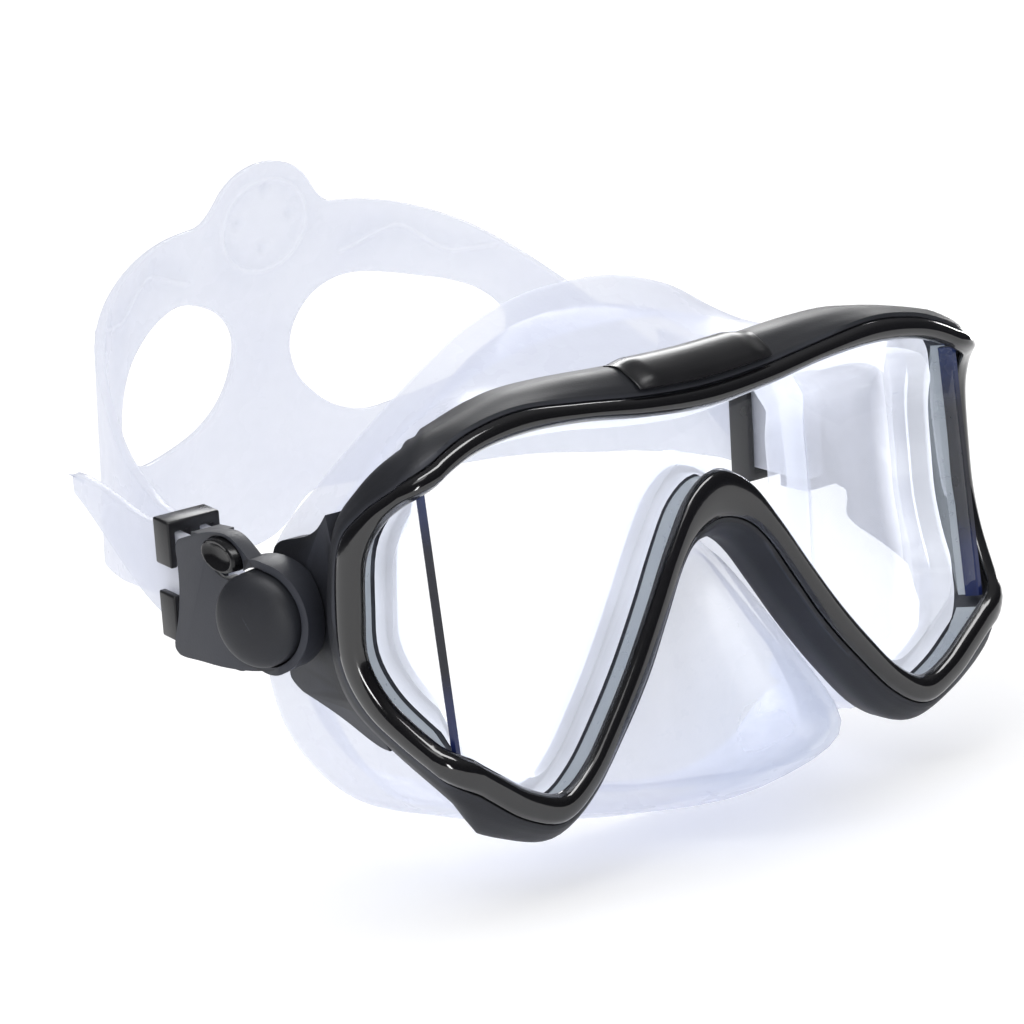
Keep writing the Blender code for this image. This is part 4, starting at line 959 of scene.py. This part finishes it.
PLAN, PLAN_S = plan_curve()
ARM_LEN = float(PLAN_S[-1])
WRAP_LEN = math.pi * WRAP_R
TOTAL = ARM_LEN + WRAP_LEN + TAIL_LEN


def plan_at(reach):
    return np.array([np.interp(reach, PLAN_S, PLAN[:, k]) for k in (0, 1)])


def arm_point(reach, across, off):
    """Strap point on the +x half, between the rear centre and the roller."""
    x, y = plan_at(reach)
    step = 0.6
    run_x, run_y = plan_at(min(reach + step, ARM_LEN)) - plan_at(max(reach - step, 0))
    if reach < step:
        run_y = 0.0
    length = math.hypot(run_x, run_y)
    front = smooth(reach / (ARM_LEN - 26))
    lean = REAR_LEAN + (PITCH - REAR_LEAN) * front
    line = PIVOT_Z + (y - PIVOT_Y) * math.tan(PITCH) + STRAP_H / math.cos(PITCH)
    z = REAR_Z + (line - REAR_Z) * front
    return (x - run_y / length * off,
            y + run_x / length * off - across * math.sin(lean),
            z + across * math.cos(lean))


def strap_point(along, across, off):
    """Strap point: along the path from the rear centre, across, off the mid face."""
    side, reach = (-1.0 if along < 0 else 1.0), abs(along)
    if reach <= ARM_LEN:
        x, y, z = arm_point(reach, across, off)
    elif reach <= ARM_LEN + WRAP_LEN:
        turn = (reach - ARM_LEN) / WRAP_R
        radius = WRAP_R - off
        x, y, z = buckle_to_design(ROLLER_A - radius * math.sin(turn), STRAP_H + across,
                                   ROLLER_X - radius * math.cos(turn))
    else:
        # The tail closes on the arm at first, then rises and eases away from it.
        tail = reach - ARM_LEN - WRAP_LEN
        rise = 5.0 * smooth((tail - 22) / (TAIL_LEN - 22))
        drift = -0.04 * tail if tail < 24 else -0.96 + (tail - 24) * 0.02
        x, y, z = buckle_to_design(ROLLER_A + tail, STRAP_H + across + rise,
                                   ROLLER_X + WRAP_R - off + drift)
    return (side * x, y, z)


def band_top(reach):
    """Top edge of the pad between the points of PAD_TOP."""
    places = [p[0] for p in PAD_TOP]
    i = np.searchsorted(places, reach, side="right") - 1
    part = (reach - places[i]) / (places[i + 1] - places[i])
    return catmull(PAD_TOP, i + part, False)[1]


def pad_edges(along):
    """Top and bottom edge of the flattened strap."""
    reach = abs(along)
    if reach >= PAD_TOP[-1][0]:
        top = STRAP_HALF
    elif reach < LOBE_END:
        top = LOBE_C + math.sqrt(LOBE_R ** 2 - reach * reach)
    elif reach < LOBE_FOOT:
        # Hermite blend from the lobe's circle to the band.
        width = LOBE_FOOT - LOBE_END
        part = (reach - LOBE_END) / width
        rise = math.sqrt(LOBE_R ** 2 - LOBE_END ** 2)
        high, fall = LOBE_C + rise, -LOBE_END / rise
        top = (high * (1 + 2 * part) * (1 - part) ** 2
               + fall * width * part * (1 - part) ** 2
               + band_top(LOBE_FOOT) * part * part * (3 - 2 * part)
               + 0.06 * width * part * part * (1 - part))
    else:
        top = band_top(reach)
    middle = PAD_MID * (1 - smooth((reach - 30) / 75))
    bottom = 2 * middle - top - 4 * (1 - smooth((reach - 40) / 60))
    tip_start = 18      # the tail narrows from here to its end
    past = reach - ARM_LEN - WRAP_LEN - tip_start
    if past > 0:
        part = past / (TAIL_LEN - tip_start)
        bottom = -STRAP_HALF + 13.4 * part ** 1.25
        top = STRAP_HALF - 1.2 * part ** 3
    return top, bottom


# ---------------------------------------------------------------- strap mesh
def inside_polygon(point, polygon):
    inside = False
    for (x1, y1), (x2, y2) in zip(polygon, polygon[1:] + polygon[:1]):
        if ((y1 > point[1]) != (y2 > point[1])
                and point[0] < (x2 - x1) * (point[1] - y1) / (y2 - y1) + x1):
            inside = not inside
    return inside


def line_distance(point, line):
    best = 1e9
    for (x1, y1), (x2, y2) in zip(line, line[1:]):
        dx, dy = x2 - x1, y2 - y1
        part = ((point[0] - x1) * dx + (point[1] - y1) * dy) / (dx * dx + dy * dy)
        part = min(max(part, 0), 1)
        best = min(best, math.hypot(point[0] - x1 - part * dx, point[1] - y1 - part * dy))
    return best


def nearest(points, point):
    return np.min(np.hypot(points[:, 0] - point[0], points[:, 1] - point[1]))


WAVE_LINE = open_curve(WAVE, 6)


def relief(along, across):
    """Height of the moulded pattern on both faces of the strap."""
    height = 0.0
    for centre in DIMPLES:
        distance = math.hypot(along - centre[0], across - centre[1])
        height -= DIMPLE_DEEP * (1 - smooth(distance / DIMPLE_R))
    to_ring = abs(math.hypot(along - RING_C[0], across - RING_C[1]) - RING_R)
    to_wave = line_distance((abs(along), across), WAVE_LINE)
    for distance in (to_ring, to_wave):
        height += RIDGE_HIGH * (1 - smooth(distance / RIDGE_HALF))
    return height


def relief_points():
    """Mesh points that follow the ring, the dimples and the waves."""
    points = []
    for shift in RIDGE_ROWS:
        points += circle(RING_R + shift, 72, RING_C)
    for centre in DIMPLES:
        for radius, count in ((0, 1), (0.9, 8), (1.7, 14), (2.6, 20)):
            points += circle(radius, count, centre)
    last = len(WAVE_LINE) - 1
    for side in (1, -1):
        for i, (x, z) in enumerate(WAVE_LINE):
            run = np.array(WAVE_LINE[min(i + 1, last)]) - WAVE_LINE[max(i - 1, 0)]
            across = np.array((-run[1], run[0])) / np.linalg.norm(run)
            points += [(side * (x + across[0] * shift), z + across[1] * shift)
                       for shift in RIDGE_ROWS]
    return points


def strap_stations():
    """Positions along the whole strap: finest at the lobe and round the roller."""
    step, arm_start = 2.0, 112
    places = [round(x, 4) for x in np.arange(0, LOBE_FOOT, 0.7)]
    places += list(np.arange(LOBE_FOOT, arm_start, 1.6))
    places += list(np.arange(arm_start, ARM_LEN - 0.5, step))
    places += list(ARM_LEN + WRAP_LEN * np.arange(17) / 16)
    places += list(np.arange(ARM_LEN + WRAP_LEN + step, TOTAL - 0.8, step)) + [TOTAL]
    places = sorted(set(places))
    return [-x for x in reversed(places) if x > 0] + places


def strap_mesh():
    """Triangulates the flattened strap, then bends it into two faces joined at the rims."""
    stations = strap_stations()
    points, edges = [], []

    def add(point):
        points.append(Vector((float(point[0]), float(point[1]))))
        return len(points) - 1

    bottom = [add((s, pad_edges(s)[1])) for s in stations]
    top = [add((s, pad_edges(s)[0])) for s in reversed(stations)]
    ring = bottom + top
    edges += list(zip(ring, ring[1:] + ring[:1]))
    holes = []
    for side, shape in ((1, OPENING_LEFT), (-1, OPENING)):
        hole = [(side * x, z) for x, z in closed_curve(shape, OPENING_STEPS)]
        ids = [add(p) for p in hole]
        edges += list(zip(ids, ids[1:] + ids[:1]))
        holes.append(hole)
    # Beyond the pad, straight rows across the band.
    rows = 8
    for k, s in enumerate(stations):
        if abs(s) > 110:
            high, low = pad_edges(s)
            middle = [add((s, low + (high - low) * j / rows)) for j in range(1, rows)]
            chain = [bottom[k]] + middle + [top[len(stations) - 1 - k]]
            edges += list(zip(chain, chain[1:]))

    hole_points = np.array([p for hole in holes for p in hole])
    outer = [tuple(points[i]) for i in ring]
    rim_points = np.array(outer)
    placed = []

    def scatter(candidates, hole_gap, rim_gap, gap):
        """Keeps the candidates that clear the holes, the rim and the earlier points."""
        for point in candidates:
            high, low = pad_edges(point[0])
            if not low + 0.5 < point[1] < high - 0.5:
                continue
            if nearest(hole_points, point) < hole_gap or nearest(rim_points, point) < rim_gap:
                continue
            if any(inside_polygon(point, hole) for hole in holes):
                continue
            if placed and nearest(np.array(placed), point) < gap:
                continue
            placed.append(point)

    scatter(relief_points(), hole_gap=0.8, rim_gap=0.5, gap=0.3)
    scatter([(x, z) for x in np.arange(-111, 111.5, 2.4) for z in np.arange(-60, 60, 2.4)],
            hole_gap=1.3, rim_gap=1.3, gap=1.3)
    for point in placed:
        add(point)

    flat, _, cells, *_ = delaunay_2d_cdt(points, edges, [], 1, 1e-5)
    triangles = []
    for cell in cells:
        centre = (sum(flat[i][0] for i in cell) / len(cell),
                  sum(flat[i][1] for i in cell) / len(cell))
        if (inside_polygon(centre, outer)
                and not any(inside_polygon(centre, hole) for hole in holes)):
            triangles.append(tuple(cell))
    used = {}
    for cell in triangles:
        for i, j in zip(cell, cell[1:] + cell[:1]):
            used.setdefault((min(i, j), max(i, j)), []).append((i, j))
    rims = [pairs[0] for pairs in used.values() if len(pairs) == 1]

    size, half = len(flat), STRAP_T / 2
    verts = [strap_point(p[0], p[1], half + relief(p[0], p[1])) for p in flat]
    verts += [strap_point(p[0], p[1], -half - relief(p[0], p[1])) for p in flat]
    faces = triangles + [tuple(i + size for i in reversed(cell)) for cell in triangles]
    faces += [(j, i, i + size, j + size) for i, j in rims]
    keep = sorted({i for face in faces for i in face})
    index = {i: k for k, i in enumerate(keep)}
    return [verts[i] for i in keep], [tuple(index[i] for i in face) for face in faces]


def build_strap():
    strap = make("strap_silicone", *strap_mesh())
    finish_piece(strap, [STRAP_MAT], "head_strap", ["strap"],
                 angle=60, bevel=0.55, segs=3, bevel_angle=55)


# ---------------------------------------------------------------- buckles
def build_plate(side, name):
    """Buckle plate: hub, tilted cup and two legs added, then holes and notches cut."""
    cosine, sine = math.cos(PITCH), math.sin(PITCH)
    pitched = [(cosine * y + sine * z, -sine * y + cosine * z) for y, z in PLATE_OUTLINE]
    plate = closed_curve(pitched, 3 * len(pitched))
    ob = make(f"buckle_plate_{name}", *prism(plate, PLATE_IN, PLATE_OUT, side))
    cup = make("cup", *tilted([(-6.8, CUP_R), (-0.5, CUP_R)], side))
    wide = [(-40, -40), (40, -40), (40, 40), (-40, 40)]
    boolean(cup, make("band", *prism(wide, HUB_IN, PLATE_OUT, side)), "INTERSECT")
    boolean(ob, cup, "UNION")
    added = [prism(circle(HUB_R, 64), HUB_IN, PLATE_IN + 0.5, side)]
    added += [prism(leg, PLATE_IN - LEG_DEEP, PLATE_IN + 0.6, side) for leg in LEGS]
    for body in added:
        boolean(ob, make("added", *body), "UNION")
    top_notch = ellipse((9.8, 9.8), (6.6, 4.1), 64)
    cuts = [
        prism(circle(PIN_HOLE_R, 32), LUG_OUT - 1, PLATE_OUT + 2, side),
        prism(top_notch, PLATE_IN - 0.5, PLATE_OUT + 3, side),
        prism(LOW_NOTCH, PLATE_IN - 0.5, PLATE_OUT - 0.7, side),
        prism(INNER_SLOT, PLATE_IN - 0.5, PLATE_IN + 2.3, side),
        tilted([(-CAP_DEEP - 0.3, CUP_BORE), (9.0, CUP_BORE)], side),
    ]
    for body in cuts:
        boolean(ob, make("cut", *body), "DIFFERENCE")
    finish_piece(ob, [SATIN], f"buckle_{name}", [f"buckle_body_{name}"],
                 angle=38, bevel=0.5, segs=3)


def build_cap(side, name):
    """Shallow domed cap, its rim rounded over and its face easing flat in the middle."""
    profile = [(-CAP_DEEP, CAP_R - 0.3), (-CAP_DEEP + 0.3, CAP_R), (-2.0, CAP_R),
               (-0.6, CAP_R), (-0.2, CAP_R - 0.03)]
    for k in range(1, DOME_STEPS):
        turn = math.pi / 2 * k / DOME_STEPS
        profile.append((CAP_H * math.sin(turn) ** 0.9, CAP_R * math.cos(turn) ** 0.86))
    profile.append((CAP_H, 0.3))
    cap = make(f"cap_dome_{name}", *tilted(profile, side))
    finish_piece(cap, [SATIN], f"buckle_{name}", [f"pivot_cap_{name}"],
                 angle=50)


def dished_button(name, side, points, centre, dish, face_x):
    """Push button: crowned outline with a thumb dish in its outer face."""
    outline_points = closed_curve(points, 4 * len(points))
    ob = make(name, *prism(outline_points, PLATE_IN - 0.1, face_x, side))
    bm = bmesh.new()
    bm.from_mesh(ob.data)
    bm.faces.remove(max(bm.faces, key=lambda face: (
        face.calc_center_median().x * side if len(face.verts) > 20 else -9)))
    x, y, z = buckle_to_design(*centre, face_x)
    middle = Vector(row((side * x, y, z)))
    rim = [v for v in bm.verts if abs(v.co.x - middle.x) < 1e-6]
    rim.sort(key=lambda v: math.atan2(v.co.z - middle.z, v.co.y - middle.y))
    last = rim
    for share, height in DISH_RINGS:
        ring = [bm.verts.new((middle.x + side * dish * height * MM,
                              middle.y + (v.co.y - middle.y) * share,
                              middle.z + (v.co.z - middle.z) * share)) for v in rim]
        for i in range(len(ring)):
            j = (i + 1) % len(ring)
            bm.faces.new((last[i], last[j], ring[j], ring[i]))
        last = ring
    bm.faces.new(last)
    face_out(bm)
    bm.to_mesh(ob.data)
    bm.free()
    return ob


def build_buttons(side, name):
    upper = dished_button(f"button_top_{name}", side, ellipse(UPPER_CENTRE, (5.8, 3.1), 24),
                          UPPER_CENTRE, dish=0.9, face_x=PLATE_OUT + 1.2)
    finish_piece(upper, [BUTTON], f"button_upper_{name}", [f"release_button_upper_{name}"],
                 angle=45, bevel=0.25, bevel_angle=50)
    lower = dished_button(f"button_bottom_{name}", side, LOWER_BUTTON,
                          LOWER_CENTRE, dish=0.25, face_x=PLATE_OUT - 1.3)
    finish_piece(lower, [SATIN], f"button_lower_{name}", [f"release_button_lower_{name}"],
                 angle=45, bevel=0.25, bevel_angle=50)


def build_keeper(side, name):
    """Loop with two slots, for the strap's arm and tail, and a window in its outer face."""
    def box(backs, ups, sides):
        def put(back, up, x):
            x, y, z = buckle_to_design(back, up, x - 0.04 * (back - ROLLER_A))
            return (side * x, y, z)
        corners = [(ups[0], sides[0]), (ups[0], sides[1]), (ups[1], sides[1]),
                   (ups[1], sides[0])]
        return slab(*([put(back, up, x) for up, x in corners] for back in backs))

    front, back = KEEPER_A - KEEPER_LEN / 2, KEEPER_A + KEEPER_LEN / 2
    low, high = STRAP_H - STRAP_HALF - 0.5, STRAP_H + STRAP_HALF + 0.5
    inner, outer = ROLLER_X - WRAP_R, ROLLER_X + WRAP_R
    gap = STRAP_T / 2 + 0.4     # half thickness of a slot
    wall, end_wall = 1.6, 2.2
    ob = make(f"keeper_loop_{name}", *box((front, back), (low - end_wall, high + end_wall),
                                          (inner - gap - wall, outer + gap + wall)))
    for ups, sides in (((low, high), (inner - gap, inner + gap)),
                       ((low, high), (outer - gap, outer + gap)),
                       ((-3.6, 1.8), (outer + gap - 0.5, outer + gap + 3))):
        boolean(ob, make("slot", *box((front - 1, back + 1), ups, sides)), "DIFFERENCE")
    finish_piece(ob, [CLIP], f"keeper_{name}", [f"strap_keeper_{name}"],
                 angle=38, bevel=0.45, segs=3)


def build_sides():
    """Both buckles, and the looks of the CAD pieces that are kept as they are."""
    for side, name in ((1, "left"), (-1, "right")):
        build_plate(side, name)
        build_cap(side, name)
        build_buttons(side, name)
        build_keeper(side, name)
        for node, material in (("pivot_pin", SATIN), ("strap_roller", SATIN),
                               ("button_spring", STEEL), ("lens_joint", STRIP)):
            for slot in NODES[f"{node}_{name}"].material_slots:
                slot.material = material


# ---------------------------------------------------------------- stage (metres)
def build_floor():
    """Round floor just below the product."""
    count, radius, gap = 48, 6.0, 0.0004
    z = min(CAD_BOX[0][2], CAD_BOX[1][2]) - gap
    bm = bmesh.new()
    bm.faces.new([bm.verts.new((radius * math.cos(2 * math.pi * k / count),
                                radius * math.sin(2 * math.pi * k / count), z))
                  for k in range(count)])
    mesh = bpy.data.meshes.new("floor")
    bm.to_mesh(mesh)
    bm.free()
    floor = link("floor", mesh)
    mesh.materials.append(floor_paper("floor_paper"))


def build_world():
    """White surroundings, but a graded grey studio in glossy reflections."""
    world = bpy.data.worlds.new("studio")
    bpy.context.scene.world = world
    world.use_nodes = True
    tree = world.node_tree
    is_glossy = add_node(tree, "LightPath").outputs["Is Glossy Ray"]
    direction = add_node(tree, "TexCoord").outputs["Generated"]
    height = span(tree, axis_of(tree, direction, "Z"), source=(-1.0, 1.0), target=(0.0, 1.0))
    studio = ramp(tree, height,
                  [(0.0, (0.22, 0.22, 0.23)), (0.47, (0.14, 0.14, 0.15)),
                   (0.55, (0.035, 0.035, 0.04)), (0.75, (0.08, 0.08, 0.085)),
                   (1.0, (0.30, 0.30, 0.31))])
    fill(tree.nodes["Background"], Strength=1.0,
         Color=mix_color(tree, is_glossy, (1.0, 1.0, 1.0), studio))


# Area lights: name, place, aim, (width, height), watts, lights diffuse surfaces too.
LIGHTS = [
    ("key", (-0.55, -0.35, 0.75), (0, 0.03, 0), (0.5, 0.35), 1.2, True),
    ("top_box", (-0.15, -0.25, 0.9), (0, 0.03, 0), (0.9, 0.35), 9.0, False),
    ("left_box", (-0.75, -0.75, -0.02), (-0.03, 0.0, -0.03), (0.12, 0.6), 4.5, False),
    ("right_box", (0.85, 0.35, 0.14), (0, 0, -0.02), (0.12, 0.35), 3.0, False),
    ("rim_box", (0.6, 0.75, 0.55), (0, 0.06, 0), (0.5, 0.4), 6.0, False),
]


def build_lights():
    for name, place, aim, size, watts, diffuse in LIGHTS:
        light = bpy.data.lights.new(name, "AREA")
        light.shape, light.size, light.size_y = "RECTANGLE", size[0], size[1]
        light.energy = watts
        ob = link(name, light)
        ob.location = place
        away = Vector(place) - Vector(aim)
        ob.rotation_euler = away.to_track_quat("Z", "Y").to_euler()
        ob.visible_diffuse = diffuse


def build_camera():
    """Long lens, from the front on the -x side and a little above."""
    camera = bpy.data.cameras.new("camera")
    camera.sensor_width, camera.lens = 36.0, 132.08
    camera.clip_start, camera.clip_end = 0.05, 20.0
    ob = link("camera", camera)
    ob.matrix_world = Matrix((
        (0.80676655, 0.22040289, -0.54822468, -0.41017),
        (-0.57593736, 0.08605481, -0.81295186, -0.54254),
        (-0.13199957, 0.97160544, 0.1963644, 0.12738),
        (0, 0, 0, 1)))
    bpy.context.scene.camera = ob


build_bezel()
build_rear_frame()
build_bridge_cover()
build_windows()
build_skirt()
build_seal()
build_strap()
build_sides()
build_floor()
build_world()
build_lights()
build_camera()
bpy.context.scene.view_settings.view_transform = "Standard"
bpy.context.scene.cycles.transparent_max_bounces = 24
